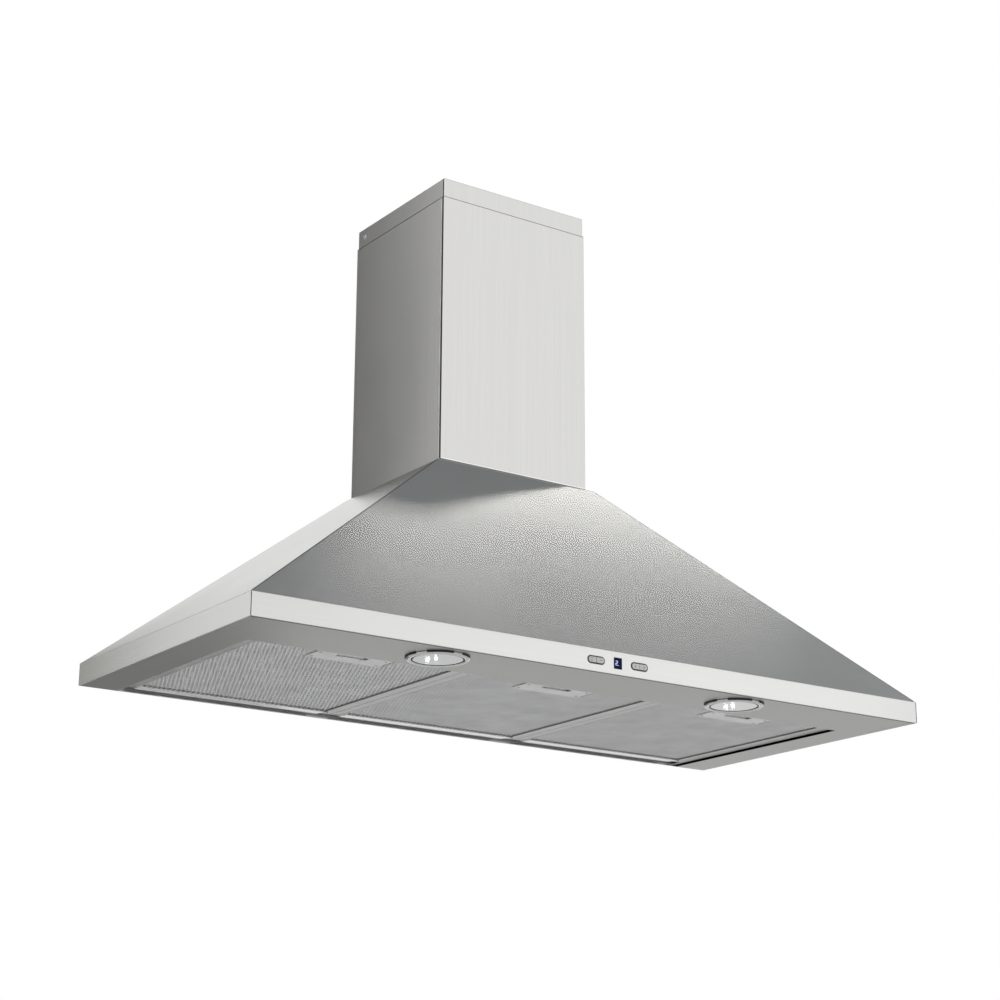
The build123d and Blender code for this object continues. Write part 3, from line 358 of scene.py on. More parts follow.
STEEL = (0.69, 0.69, 0.675)
steel_front = brushed("steel_front", STEEL, "X", 0.21, contrast=0.4)
steel_side = brushed("steel_side", STEEL, "Y", 0.25, contrast=0.4)
# The underside frame's steel is coloured darker than the canopy's: painted shade on the underside.
steel_frame_shaded = brushed("steel_frame_shaded", (0.56, 0.56, 0.545), "X", 0.30, second="Y", second_from=0.403,
                      contrast=0.5)
steel_chimney = brushed("steel_chimney", (0.71, 0.705, 0.695), "Z", 0.20, contrast=0.5)
galvanised = zinc("galvanised", (0.60, 0.615, 0.62))
panel_zinc = zinc("panel_zinc", (0.60, 0.615, 0.62), -0.188)
shaft_steel = satin("shaft_steel", (0.62, 0.62, 0.63), 0.2, 1500.0)
screw_steel = satin("screw_steel", (0.62, 0.62, 0.60), 0.28, 1200.0, 0.0002)
# Near-black strips: dark joints and mitres, and painted shade in gaps, folds and under edges.
dark_seam_and_shade = satin("dark_seam_and_shade", (0.06, 0.06, 0.058), 0.5)
# Dark grey strips: a joint line, and painted shade in the filters' folds.
soft_seam_and_shade = satin("soft_seam_and_shade", (0.24, 0.24, 0.23), 0.5)
filter_metal = satin("filter_metal", (0.72, 0.72, 0.71), 0.33)
latch_metal = satin("latch_metal", (0.97, 0.97, 0.955), 0.52, 600.0)
mesh_metal = satin("mesh_metal", (0.97, 0.97, 0.965), 0.55, 1500.0, 0.0002)
mesh_core = satin("mesh_core", (0.96, 0.96, 0.955), 0.62, 500.0)
rail_zinc = zinc("rail_zinc", (0.22, 0.22, 0.215))
# Bright satin metal: the filters' rear rails, and strips that are painted highlights.
bright_rail_and_highlight = satin("bright_rail_and_highlight", (0.92, 0.92, 0.91), 0.16, 900.0)
black_plastic = moulded("black_plastic", (0.035, 0.035, 0.037), 0.48)
flap_plastic = moulded("flap_plastic", (0.12, 0.12, 0.125), 0.5)
fan_plastic = moulded("fan_plastic", (0.09, 0.09, 0.095), 0.45, 900.0)
capacitor_plastic = moulded("capacitor_plastic", (0.70, 0.70, 0.67), 0.4)
gland_plastic = moulded("gland_plastic", (0.07, 0.07, 0.07), 0.5)
bezel_plastic = moulded("bezel_plastic", (0.05, 0.05, 0.05), 0.35, 2200.0)
key_plastic = moulded("key_plastic", (0.64, 0.65, 0.65), 0.38, 2600.0, 0.08, 0.0003)
ink = moulded("ink", (0.05, 0.05, 0.055), 0.55, 2600.0, 0.05)
gasket_and_shade = moulded("gasket_and_shade", (0.03, 0.03, 0.03), 0.6, 1200.0)
guard_paint = enamel("guard_paint", (0.05, 0.05, 0.055))
motor_paint = enamel("motor_paint", (0.20, 0.22, 0.24), 0.4)
chrome = polished("chrome", (0.78, 0.78, 0.78), 0.08)
bowl = polished("bowl", (0.86, 0.86, 0.85), 0.10, 0.10, 220.0)
lens_glass = clear_glass("lens_glass", (0.95, 0.97, 0.97), 0.0)
ceramic = moulded("ceramic", (0.72, 0.70, 0.66), 0.6, 500.0)
display_window = dark_window("display_window")
digit_light = faintly_lit("digit_light", (0.52, 0.60, 0.95))
pearl_glass = faintly_lit("pearl_glass", (1.0, 0.98, 0.95))
board = circuit("board")
filament = satin("filament", (0.45, 0.43, 0.40), 0.4)

NODE_PAINT = {
    "canopy_front": steel_front, "canopy_left": steel_side, "canopy_right": steel_side,
    "canopy_top": steel_front, "underside_frame": steel_frame_shaded, "lower_cover": steel_chimney,
    "upper_cover": steel_chimney, "rear_panel": panel_zinc, "filter_rail": rail_zinc,
    "upper_bracket": galvanised, "duct_collar": black_plastic, "flap_pin": shaft_steel,
    "flap_front": flap_plastic, "flap_rear": flap_plastic, "outlet_adapter": black_plastic,
    "blower_scroll": galvanised, "blower_side_left": galvanised, "blower_side_right": galvanised,
    "inlet_guard": guard_paint, "motor_bracket": guard_paint, "motor": motor_paint,
    "motor_shaft": shaft_steel, "impeller": fan_plastic, "run_capacitor": capacitor_plastic,
    "power_box": black_plastic, "power_box_lid": black_plastic, "cord_gland": gland_plastic,
    "control_housing": bezel_plastic, "control_board": board, "display_window": display_window,
    "lamp_rings": chrome, "lamp_lenses": lens_glass, "lamp_reflectors": bowl, "lamp_bulbs": pearl_glass,
}
for side in SIDES:
    NODE_PAINT[f"filter_frame_{side}"] = filter_metal
    NODE_PAINT[f"filter_mesh_{side}"] = mesh_core
    NODE_PAINT[f"latch_plate_{side}"] = latch_metal
    NODE_PAINT[f"latch_slider_{side}"] = latch_metal
    NODE_PAINT[f"latch_spring_{side}"] = shaft_steel
for key in KEYS:
    NODE_PAINT[f"key_{key}"] = key_plastic
for name, node in nodes.items():
    node.data.materials.clear()
    node.data.materials.append(NODE_PAINT[name])


# ---------------------------------------------------------------- mesh helpers
def piece(name, vertices, faces, paint, body="canopy", slot=None, smooth=False):
    """A mesh piece in metres that rides on a body."""
    mesh = bpy.data.meshes.new(name)
    mesh.from_pydata(vertices, [], faces)
    mesh.validate()
    mesh.update()
    item = bpy.data.objects.new(name, mesh)
    bpy.context.scene.collection.objects.link(item)
    mesh.materials.append(paint)
    if smooth:
        mesh.polygons.foreach_set("use_smooth", [True] * len(mesh.polygons))
    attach(item, body)
    return item


def merge(parts):
    """Join (vertices, faces) pairs into one pair."""
    vertices, faces = [], []
    for some_vertices, some_faces in parts:
        start = len(vertices)
        vertices += [tuple(v) for v in some_vertices]
        faces += [[start + i for i in face] for face in some_faces]
    return vertices, faces


def lathe(profile, centre, axis, segments=48, closed=False):
    """Turn (radius, height) points round an axis."""
    axis = Vector(axis).normalized()
    side = axis.orthogonal().normalized()
    other = axis.cross(side)
    vertices, faces = [], []
    for i in range(segments):
        angle = 2 * math.pi * i / segments
        out = side * math.cos(angle) + other * math.sin(angle)
        for radius, height in profile:
            vertices.append(Vector(centre) + out * radius + axis * height)
    count = len(profile)
    steps = count if closed else count - 1
    for i in range(segments):
        for k in range(steps):
            a, b = i * count + k, i * count + (k + 1) % count
            c, d = ((i + 1) % segments) * count + (k + 1) % count, ((i + 1) % segments) * count + k
            faces.append([d, c, b, a])
    return vertices, faces


def slab(corners, thickness, direction):
    """A plate from its outline, pushed back by the thickness."""
    push = Vector(direction).normalized() * thickness
    count = len(corners)
    vertices = [Vector(c) for c in corners] + [Vector(c) - push for c in corners]
    faces = [list(range(count)), list(range(2 * count - 1, count - 1, -1))]
    for i in range(count):
        j = (i + 1) % count
        faces.append([j, i, count + i, count + j])
    return vertices, faces


def cross_screw(centre, axis, radius, height):
    """A pan head with a cross recess."""
    axis = Vector(axis).normalized()
    side = axis.orthogonal().normalized()
    other = axis.cross(side)
    arm, width, depth = radius * 0.62, radius * 0.16, height * 0.6

    def at(x, y, z):
        return Vector(centre) + side * x + other * y + axis * z

    rings = [(radius, 0.0), (radius, height * 0.45), (radius * 0.86, height * 0.8), (radius * 0.7, height)]
    segments = 24
    vertices, faces = [], []
    for ring_radius, ring_height in rings:
        for i in range(segments):
            angle = 2 * math.pi * (i + 0.5) / segments
            vertices.append(at(ring_radius * math.cos(angle), ring_radius * math.sin(angle), ring_height))
    for r in range(len(rings) - 1):
        for i in range(segments):
            j = (i + 1) % segments
            faces.append([r * segments + i, r * segments + j, (r + 1) * segments + j, (r + 1) * segments + i])
    outline = [(width, width), (width, arm), (-width, arm), (-width, width), (-arm, width), (-arm, -width),
               (-width, -width), (-width, -arm), (width, -arm), (width, -width), (arm, -width), (arm, width)]
    top = len(vertices)
    vertices += [at(x, y, height) for x, y in outline]
    bottom = len(vertices)
    vertices += [at(x * 0.7, y * 0.7, height - depth) for x, y in outline]
    for i in range(12):
        j = (i + 1) % 12
        faces.append([top + j, top + i, bottom + i, bottom + j])
    faces.append([bottom + i for i in range(12)])

    # The flat top between the round rim and the cross.
    rim = (len(rings) - 1) * segments
    nearest = [min(range(12), key=lambda k: abs(math.remainder(
        math.atan2(outline[k][1], outline[k][0]) - 2 * math.pi * (i + 0.5) / segments, 2 * math.pi)))
        for i in range(segments)]
    for i in range(segments):
        j = (i + 1) % segments
        a, b = nearest[i], nearest[j]
        faces.append([rim + i, rim + j, top + b] + ([] if a == b else [top + a]))
        between = [(a + s) % 12 for s in range(1, (b - a) % 12)]
        if between:
            faces[-1] = [rim + i, rim + j, top + b] + [top + k for k in reversed(between)] + [top + a]
    return vertices, faces


def screws(name, places, axis, radius=3.6, height=2.0, body="canopy"):
    parts = [cross_screw([c * MM for c in place], axis, radius * MM, height * MM) for place in places]
    return piece(name, *merge(parts), screw_steel, body)


def bar(a, b, width, thickness, up):
    """A thin straight strip from a to b, standing along up."""
    a, b, up = Vector(a), Vector(b), Vector(up).normalized()
    across = (b - a).cross(up).normalized() * width / 2
    return slab([a - across + up * thickness, b - across + up * thickness,
                 b + across + up * thickness, a + across + up * thickness], thickness, up)


# ---------------------------------------------------------------- sizes read from the frame
canopy_low, canopy_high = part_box("canopy_front")
lower_low, lower_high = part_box("lower_cover")
upper_low, upper_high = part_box("upper_cover")
frame_boxes = {side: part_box(f"filter_frame_{side}") for side in SIDES}
plate_boxes = {side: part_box(f"latch_plate_{side}") for side in SIDES}
z_under = canopy_low.z
z_filter = frame_boxes["left"][0].z

# ---------------------------------------------------------------- grease filters
FRONT_RAIL, REAR_RAIL, SIDE_RAIL = 6.0 * MM, 21.0 * MM, 12.0 * MM
MESH_TUCK, MESH_REACH, NOTCH_GAP = 3 * MM, 265 * MM, 3.4 * MM


def expanded_mesh(low, high, z, cell, strand, tilt, skip=None):
    """Slit and stretched sheet: rhombic cells whose strands lean, clear of the skipped box."""
    width, depth = cell
    rows = int((high[1] - low[1]) / (depth / 2)) - 1
    columns = int((high[0] - low[0]) / width)
    start_x = (low[0] + high[0] - columns * width) / 2
    start_y = (low[1] + high[1] - (rows + 1) * depth / 2) / 2 + depth / 2
    vertices, faces = [], []
    open_x, open_y = width / 2 - strand * 1.7, depth / 2 - strand
    for row in range(rows):
        shift = width / 2 if row % 2 == 0 else 0.0
        for column in range(columns + row % 2):
            x = start_x + shift + column * width
            y = start_y + row * depth / 2
            if x - width / 2 < low[0] - 1e-6 or x + width / 2 > high[0] + 1e-6:
                continue
            if skip and skip[0] < x < skip[1] and skip[2] < y < skip[3]:
                continue
            wobble = random.uniform(-0.06, 0.06) * MM
            first = len(vertices)
            vertices += [
                (x - width / 2, y, z), (x, y - depth / 2, z - tilt / 2),
                (x + width / 2, y, z), (x, y + depth / 2, z + tilt / 2),
                (x - open_x, y + wobble, z + tilt * 0.2), (x, y - open_y + wobble, z - tilt),
                (x + open_x, y + wobble, z - tilt * 0.2), (x, y + open_y + wobble, z + tilt),
            ]
            for k in range(4):
                n = (k + 1) % 4
                faces.append([first + k, first + n, first + 4 + n, first + 4 + k])
    return vertices, faces


for side in SIDES:
    low, high = frame_boxes[side]
    plate_low, plate_high = plate_boxes[side]
    body = f"filter_{side}"
    window_low = (low.x + SIDE_RAIL - MESH_TUCK, low.y + FRONT_RAIL - MESH_TUCK)
    window_high = (high.x - SIDE_RAIL + MESH_TUCK, plate_low.y + MESH_REACH + MESH_TUCK)
    notch = (plate_low.x - NOTCH_GAP, plate_high.x + NOTCH_GAP, low.y - 1 * MM, plate_high.y + 2 * MM)
    lattice = expanded_mesh(window_low, window_high, z_filter + 0.72 * MM, (4.8 * MM, 11.0 * MM),
                            0.8 * MM, -0.16 * MM, notch)
    piece(f"filter_lattice_{side}", *lattice, mesh_metal, body, "mesh_aluminium")
    inner = expanded_mesh(window_low, window_high, z_filter + 1.12 * MM, (8.4 * MM, 7.0 * MM),
                          0.8 * MM, 0.12 * MM, notch)
    piece(f"filter_lattice_inner_{side}", *inner, mesh_metal, body, "mesh_aluminium")
    upper = expanded_mesh(window_low, window_high, z_filter + 7.62 * MM, (12.0 * MM, 6.0 * MM),
                          0.8 * MM, 0.07 * MM, notch)
    piece(f"filter_lattice_upper_{side}", *upper, mesh_metal, body, "mesh_aluminium")

# ---------------------------------------------------------------- latches
for side in SIDES:
    low, high = plate_boxes[side]
    body = f"filter_{side}"
    x_mid, y_slot = (low.x + high.x) / 2, low.y + 8 * MM
    z_face = low.z

    # A hemmed rim round the finger slot, and rivets at the plate's ends.
    rim = []
    half_long, half_wide, corner = 20 * MM, 5 * MM, 1.0 * MM
    for i in range(48):
        angle = 2 * math.pi * i / 48
        c, s = math.cos(angle), math.sin(angle)
        x = math.copysign(abs(c) ** 0.35, c) * (half_long + corner / 2)
        y = math.copysign(abs(s) ** 0.35, s) * (half_wide + corner / 2)
        rim.append((x_mid + x, y_slot + y))
    vertices, faces = [], []
    for x, y in rim:
        toward = Vector((x_mid - x, y_slot - y, 0)).normalized() * 0.9 * MM
        vertices += [(x, y, z_face + 0.02 * MM), (x + toward.x * 0.3, y + toward.y * 0.3, z_face - 0.28 * MM),
                     (x + toward.x, y + toward.y, z_face - 0.05 * MM),
                     (x + toward.x * 1.2, y + toward.y * 1.2, z_face + 0.9 * MM)]
    for i in range(48):
        j = (i + 1) % 48
        faces += [[4 * i + k, 4 * j + k, 4 * j + k + 1, 4 * i + k + 1] for k in range(3)]
    piece(f"slot_rim_{side}", vertices, faces, latch_metal, body, "latch_aluminium", smooth=True)

    rivets = []
    for x in (low.x + 5 * MM, high.x - 5 * MM):
        for y in (low.y + 6 * MM, high.y - 6 * MM):
            profile = [(1.9 * MM, 0.0), (1.7 * MM, 0.35 * MM), (1.0 * MM, 0.6 * MM), (0.0, 0.7 * MM)]
            rivets.append(lathe(profile, (x, y, z_face), (0, 0, -1), 20))
    piece(f"plate_rivets_{side}", *merge(rivets), screw_steel, body, "latch_aluminium", smooth=True)

    # Dark bars beside the plate, seen from below as a fine dark gap, are painted shade at its pressed edge.
    gap_shades = [
        bar((low.x - 1.0 * MM, low.y - 6.5 * MM, z_face), (low.x - 1.0 * MM, high.y - 4 * MM, z_face),
            1.1 * MM, 0.12 * MM, (0, 0, -1)),
        bar((high.x + 0.8 * MM, low.y, z_face), (high.x + 0.8 * MM, high.y - 8 * MM, z_face),
            0.5 * MM, 0.12 * MM, (0, 0, -1)),
    ]
    piece(f"plate_gap_shade_{side}", *merge(gap_shades), dark_seam_and_shade, body, "filter_aluminium")

# ---------------------------------------------------------------- filter frames
for side in SIDES:
    low, high = frame_boxes[side]
    body = f"filter_{side}"
    z = low.z

    # Mitred corners and the hemmed inner edge.
    marks = []
    for x, inward in ((low.x, 1), (high.x, -1)):
        marks.append(bar((x + inward * 0.6 * MM, low.y + 0.6 * MM, z),
                         (x + inward * SIDE_RAIL, low.y + FRONT_RAIL, z), 0.35 * MM, 0.08 * MM, (0, 0, -1)))
        marks.append(bar((x + inward * 4 * MM, high.y - 8 * MM, z),
                         (x + inward * SIDE_RAIL, high.y - REAR_RAIL, z), 0.35 * MM, 0.08 * MM, (0, 0, -1)))
    piece(f"frame_mitres_{side}", *merge(marks), dark_seam_and_shade, body, "filter_aluminium")

    hems = []
    inner_x = (low.x + SIDE_RAIL, high.x - SIDE_RAIL)
    y_front, y_rear = low.y + FRONT_RAIL, high.y - REAR_RAIL
    for x in inner_x:
        hems.append(bar((x, y_front, z), (x, y_rear, z), 1.0 * MM, 0.3 * MM, (0, 0, -1)))
    piece(f"frame_hem_{side}", *merge(hems), filter_metal, body, "filter_aluminium")

    # A dark strip of painted shade in the deep fold where the mesh goes under the right rail, and the drain
    # hole at its end.
    fold_shade = bar((inner_x[1] - 1.9 * MM, y_front, z), (inner_x[1] - 1.9 * MM, y_rear + 2 * MM, z),
               2.6 * MM, 0.2 * MM, (0, 0, -1))
    hole = lathe([(0.0, 0.25 * MM), (2.2 * MM, 0.25 * MM), (2.6 * MM, 0.0)],
                 (inner_x[1] - 0.5 * MM, y_rear + 3 * MM, z), (0, 0, -1), 20)
    piece(f"frame_fold_shade_{side}", *fold_shade, soft_seam_and_shade, body, "filter_aluminium")
    piece(f"drain_hole_{side}", *hole, ink, body, "filter_aluminium")

    # The rear rail: a raised rim whose broad face rises towards the wall.
    section = [(0.3, 0.0), (0.3, -1.0), (0.6, -1.4), (1.2, -1.55), (2.2, -1.5), (11.0, -0.84), (20.6, -0.1)]
    section = [(y_rear + y * MM, z + height * MM) for y, height in section] + [(y_rear + 20.8 * MM, z)]
    vertices = []
    for x in (inner_x[0] + 1 * MM, inner_x[1] - 4 * MM):
        vertices += [(x, y, height) for y, height in section]
    count = len(section)
    faces = [[i, i + 1, count + i + 1, count + i] for i in range(count - 1)]
    faces += [list(range(count)), list(range(2 * count - 1, count - 1, -1))]
    faces.append([0, count, 2 * count - 1, count - 1])
    piece(f"rear_rail_{side}", vertices, faces, bright_rail_and_highlight, body, "filter_aluminium")

    # Dark dashes at the cut ends of the mesh along the rear rail: painted shade where the mesh meets the
    # rail.
    end_shades = []
    number = int((inner_x[1] - inner_x[0]) / (6 * MM))
    for i in range(number):
        x = inner_x[0] + 4 * MM + i * 6 * MM
        if x < inner_x[1] - 5 * MM:
            end_shades.append(bar((x, y_rear - 1.6 * MM, z), (x + 2.8 * MM, y_rear - 1.6 * MM, z),
                            2.2 * MM, 0.15 * MM, (0, 0, -1)))
    piece(f"mesh_end_shades_{side}", *merge(end_shades), dark_seam_and_shade, body, "mesh_aluminium")


# ---------------------------------------------------------------- lamps
ring_low, ring_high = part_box("lamp_rings")
LAMP_X, LAMP_Y = ring_high.x - 34 * MM, ring_low.y + 34 * MM
LAMPS = (("left", -LAMP_X), ("right", LAMP_X))


def turned_pair(points):
    """The same turned shape at both lamps, from (radius, height) in millimetres."""
    profile = [(r * MM, h * MM) for r, h in points]
    return merge([lathe(profile, (x, LAMP_Y, 0.0), (0, 0, 1), 96, closed=True) for _, x in LAMPS])


# The pressed ring: a collar inside the hole, a rolled face and an inner lip round the glass.
rings = piece("lamp_bezel", *turned_pair([
    (28.7, -196.9), (28.7, -200.0), (33.7, -200.2), (34.0, -200.8), (33.9, -201.6), (33.2, -202.5),
    (32.0, -202.95), (30.6, -203.0), (29.2, -202.8), (28.4, -202.4), (28.1, -201.8), (28.1, -197.3),
    (28.3, -196.9)]), chrome, "canopy", "lamp_chrome", smooth=True)
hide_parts("lamp_rings")
piece("lamp_seal", *turned_pair([
    (28.1, -201.3), (28.1, -202.3), (27.9, -202.5), (27.3, -202.5), (27.1, -202.3), (27.1, -201.3)]),
    gasket_and_shade, "canopy", "black_plastic", smooth=True)
# Three black arcs round the ring's outer edge stand in for the shade on its outer wall: painted shade.
shade_arc_profile = [(34.0, -200.0), (34.5, -200.05), (34.7, -200.9), (34.5, -201.8), (34.0, -201.9)]
shade_arcs = []
for _, x in LAMPS:
    for start, end in ((-212, -165), (-142, -94), (-73, -44)):
        vertices, faces = [], []
        for i in range(25):
            angle = math.radians(start + (end - start) * i / 24)
            for radius, height in shade_arc_profile:
                vertices.append((x + radius * MM * math.cos(angle), LAMP_Y + radius * MM * math.sin(angle),
                                 height * MM))
        for i in range(24):
            faces += [[5 * i + k, 5 * i + 5 + k, 5 * i + 6 + k, 5 * i + 1 + k] for k in range(4)]
            faces.append([5 * i + 4, 5 * i + 9, 5 * i + 5, 5 * i])
        faces += [[0, 1, 2, 3, 4], [124, 123, 122, 121, 120]]
        shade_arcs.append((vertices, faces))
piece("lamp_shade_arcs", *merge(shade_arcs), gasket_and_shade, "canopy", "black_plastic", smooth=True)
dome = [(27.0, -198.0), (27.0, -202.0)]
for i in range(19):
    part = i / 18
    dome.append((26.7 * (1 - part), LENS_FACE - 0.02 * math.sin(part * math.pi / 2)))
dome += [(0.0, -200.4), (12.0, -200.0), (24.0, -198.6)]
lenses = piece("lamp_glass_dome", *turned_pair(dome), lens_glass, "canopy", "lamp_glass", smooth=True)
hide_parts("lamp_lenses")
for name, x in LAMPS:
    centre = (x, LAMP_Y, 0.0)

    # Facets of the reflector bowl, set just inside the sheet.
    rows, columns = 4, 16
    vertices, faces = [], []
    for row in range(rows + 1):
        part = row / rows
        radius = 26.6 - 13.8 * part ** 1.5
        height = -197.4 + 27.0 * part
        for column in range(columns):
            angle = 2 * math.pi * (column + 0.5 * (row % 2)) / columns
            vertices.append((x + radius * MM * math.cos(angle), LAMP_Y + radius * MM * math.sin(angle),
                             height * MM))
    for row in range(rows):
        for column in range(columns):
            a, b = row * columns + column, row * columns + (column + 1) % columns
            c, d = a + columns, b + columns
            if row % 2 == 0:
                faces += [[a, b, c], [b, d, c]]
            else:
                faces += [[a, b, d], [a, d, c]]
    piece(f"reflector_facets_{name}", vertices, faces, bowl, "canopy", "reflector")

    # The bulb's filament and the cap of its burner.
    coil = []
    for i in range(60):
        angle = i * 0.9
        coil.append(Vector((x + 0.9 * MM * math.cos(angle), LAMP_Y + 0.9 * MM * math.sin(angle),
                            (-189.0 + i * 0.1) * MM)))
    vertices, faces = [], []
    for i, point in enumerate(coil):
        for k in range(4):
            turn = math.pi / 2 * k
            vertices.append(point + Vector((0.14 * MM * math.cos(turn), 0.14 * MM * math.sin(turn), 0)))
        if i:
            faces += [[4 * i - 4 + k, 4 * i - 4 + (k + 1) % 4, 4 * i + (k + 1) % 4, 4 * i + k]
                      for k in range(4)]
    piece(f"filament_{name}", vertices, faces, filament, "canopy", "bulb_glass")
    cap = [(0.0, -177.2), (5.6, -177.2), (5.6, -178.4), (4.9, -179.2), (4.9, -181.0), (4.4, -181.4),
           (0.0, -181.4)]
    profile = [(r * MM, h * MM) for r, h in cap]
    piece(f"burner_{name}", *lathe(profile, centre, (0, 0, 1), 32), ceramic, "canopy", "bulb_glass")

# ---------------------------------------------------------------- control panel
def strokes(points, width, depth, y_face):
    """Flat strokes drawn on a front face, from (x, z) points in millimetres."""
    parts = []
    for a, b in zip(points, points[1:]):
        start = (a[0] * MM, y_face, a[1] * MM)
        end = (b[0] * MM, y_face, b[1] * MM)
        parts.append(bar(start, end, width * MM, depth * MM, (0, -1, 0)))
    return parts


def circle_points(x, z, radius, start=0.0, end=360.0, steps=20):
    angles = [math.radians(start + (end - start) * i / steps) for i in range(steps + 1)]
    return [(x + radius * math.cos(a), z + radius * math.sin(a)) for a in angles]


Z_PANEL = -187.5
for key in KEYS:
    low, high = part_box(f"key_{key}")
    x, y_face = (low.x + high.x) / 2 / MM, low.y
    if key == "light":
        icon = strokes(circle_points(x, Z_PANEL + 0.4, 1.2, -50, 230), 0.32, 0.05, y_face)
        icon += strokes([(x - 0.6, Z_PANEL - 1.3), (x + 0.6, Z_PANEL - 1.3)], 0.32, 0.05, y_face)
        icon += strokes([(x - 0.4, Z_PANEL - 1.9), (x + 0.4, Z_PANEL - 1.9)], 0.32, 0.05, y_face)
    elif key == "minus":
        icon = strokes([(x - 1.4, Z_PANEL), (x + 1.4, Z_PANEL)], 0.42, 0.05, y_face)
    elif key == "plus":
        icon = strokes([(x - 1.4, Z_PANEL), (x + 1.4, Z_PANEL)], 0.42, 0.05, y_face)
        icon += strokes([(x, Z_PANEL - 1.4), (x, Z_PANEL + 1.4)], 0.42, 0.05, y_face)
    else:
        icon = strokes(circle_points(x, Z_PANEL - 0.1, 1.4, 125, 415), 0.34, 0.05, y_face)
        icon += strokes([(x, Z_PANEL + 0.1), (x, Z_PANEL + 1.7)], 0.34, 0.05, y_face)
    piece(f"icon_{key}", *merge(icon), ink, f"key_{key}", "key")

y_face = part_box("display_window")[0].y
digit = [(-2.9, 2.6), (-0.9, 2.6), (-0.4, 2.1), (-0.4, 0.7), (-0.9, 0.2), (-2.4, 0.2), (-2.9, -0.3),
         (-2.9, -2.0), (-0.4, -2.0)]
segments = strokes([(x, Z_PANEL + z) for x, z in digit], 0.7, 0.06, y_face)
segments += strokes([(0.5, Z_PANEL - 2.0), (1.2, Z_PANEL - 2.0)], 0.7, 0.06, y_face)
piece("display_digit", *merge(segments), digit_light, "canopy", "display")
border = strokes([(-5.3, Z_PANEL - 6.05), (5.3, Z_PANEL - 6.05), (5.3, Z_PANEL + 6.05),
                  (-5.3, Z_PANEL + 6.05), (-5.3, Z_PANEL - 6.05)], 0.35, 0.12, -394.95 * MM)
piece("display_border", *merge(border), gasket_and_shade, "canopy", "display")

# ---------------------------------------------------------------- seams of the sheet metal
half_width, depth = canopy_high.x, -canopy_low.y
z_band = z_under + BAND_HEIGHT * MM
HIP_TOP_X, HIP_TOP_Y = 112 * MM, -207 * MM
for name, sign in (("left", -1), ("right", 1)):
    corner = Vector((sign * half_width, -depth, z_band))
    top = Vector((sign * HIP_TOP_X, HIP_TOP_Y, COVER_FOOT * MM))
    along = (top - corner).normalized()
    outward = Vector((sign * SLOPE_HEIGHT, 0, SLOPE_RUN)).normalized()
    inset = outward.cross(along).normalized() * 0.7 * MM
    if inset.y < 0:
        inset = -inset
    # A dark line along each hip and down the band's corner marks the panels' joint, drawn darker as painted
    # shade in the gap.
    hip = bar(corner + inset * 2 + along * 3 * MM, top + inset * 2 - along * 2 * MM,
              3.0 * MM, 0.06 * MM, outward)
    post_x = sign * (half_width - 0.5 * MM)
    post = bar((post_x, -depth, z_under + 0.4 * MM), (post_x, -depth, z_band - 0.2 * MM),
               0.9 * MM, 0.06 * MM, (0, -1, 0))
    piece(f"hip_seam_{name}", *merge([hip, post]), dark_seam_and_shade, "canopy", "canopy_steel")
    # A dark line round the lower cover's top edge: painted shade at the joint with the upper cover.
    rim = bar((sign * (lower_high.x + 0.01 * MM), lower_low.y, lower_high.z - 0.5 * MM),
              (sign * (lower_high.x + 0.01 * MM), -1 * MM, lower_high.z - 0.5 * MM),
              0.8 * MM, 0.05 * MM, (sign, 0, 0))
    piece(f"cover_rim_{name}", *rim, dark_seam_and_shade, "canopy", "chimney_steel")
    # A dark strip near the front of each cover side: painted shadow of the rolled-in seam.
    cover = bar((sign * (lower_high.x + 0.02 * MM), lower_low.y + 1.9 * MM, lower_low.z + 0.5 * MM),
                (sign * (lower_high.x + 0.02 * MM), lower_low.y + 1.9 * MM, lower_high.z - 0.5 * MM),
                3.4 * MM, 0.06 * MM, (sign, 0, 0))
    piece(f"cover_seam_{name}", *cover, dark_seam_and_shade, "canopy", "chimney_steel")
    # A bright strip beside the seam: a painted highlight along the cover's front fold.
    lip = bar((sign * (lower_high.x + 0.02 * MM), lower_low.y + 5.2 * MM, lower_low.z + 0.5 * MM),
              (sign * (lower_high.x + 0.02 * MM), lower_low.y + 5.2 * MM, lower_high.z - 0.5 * MM),
              2.6 * MM, 0.10 * MM, (sign, 0, 0))
    piece(f"cover_lip_highlight_{name}", *lip, bright_rail_and_highlight, "canopy", "chimney_steel")
    # The same painted shadow of the rolled-in seam on the upper cover.
    upper = bar((sign * (upper_high.x + 0.02 * MM), upper_low.y + 1.9 * MM, upper_low.z + 0.5 * MM),
                (sign * (upper_high.x + 0.02 * MM), upper_low.y + 1.9 * MM, upper_high.z - 0.5 * MM),
                2.0 * MM, 0.05 * MM, (sign, 0, 0))
    piece(f"upper_seam_{name}", *upper, dark_seam_and_shade, "upper_chimney", "chimney_steel")

rim = bar((lower_low.x, lower_low.y - 0.01 * MM, lower_high.z - 0.4 * MM),
          (lower_high.x, lower_low.y - 0.01 * MM, lower_high.z - 0.4 * MM), 0.5 * MM, 0.05 * MM, (0, -1, 0))
piece("cover_rim_front", *rim, steel_side, "canopy", "chimney_steel")
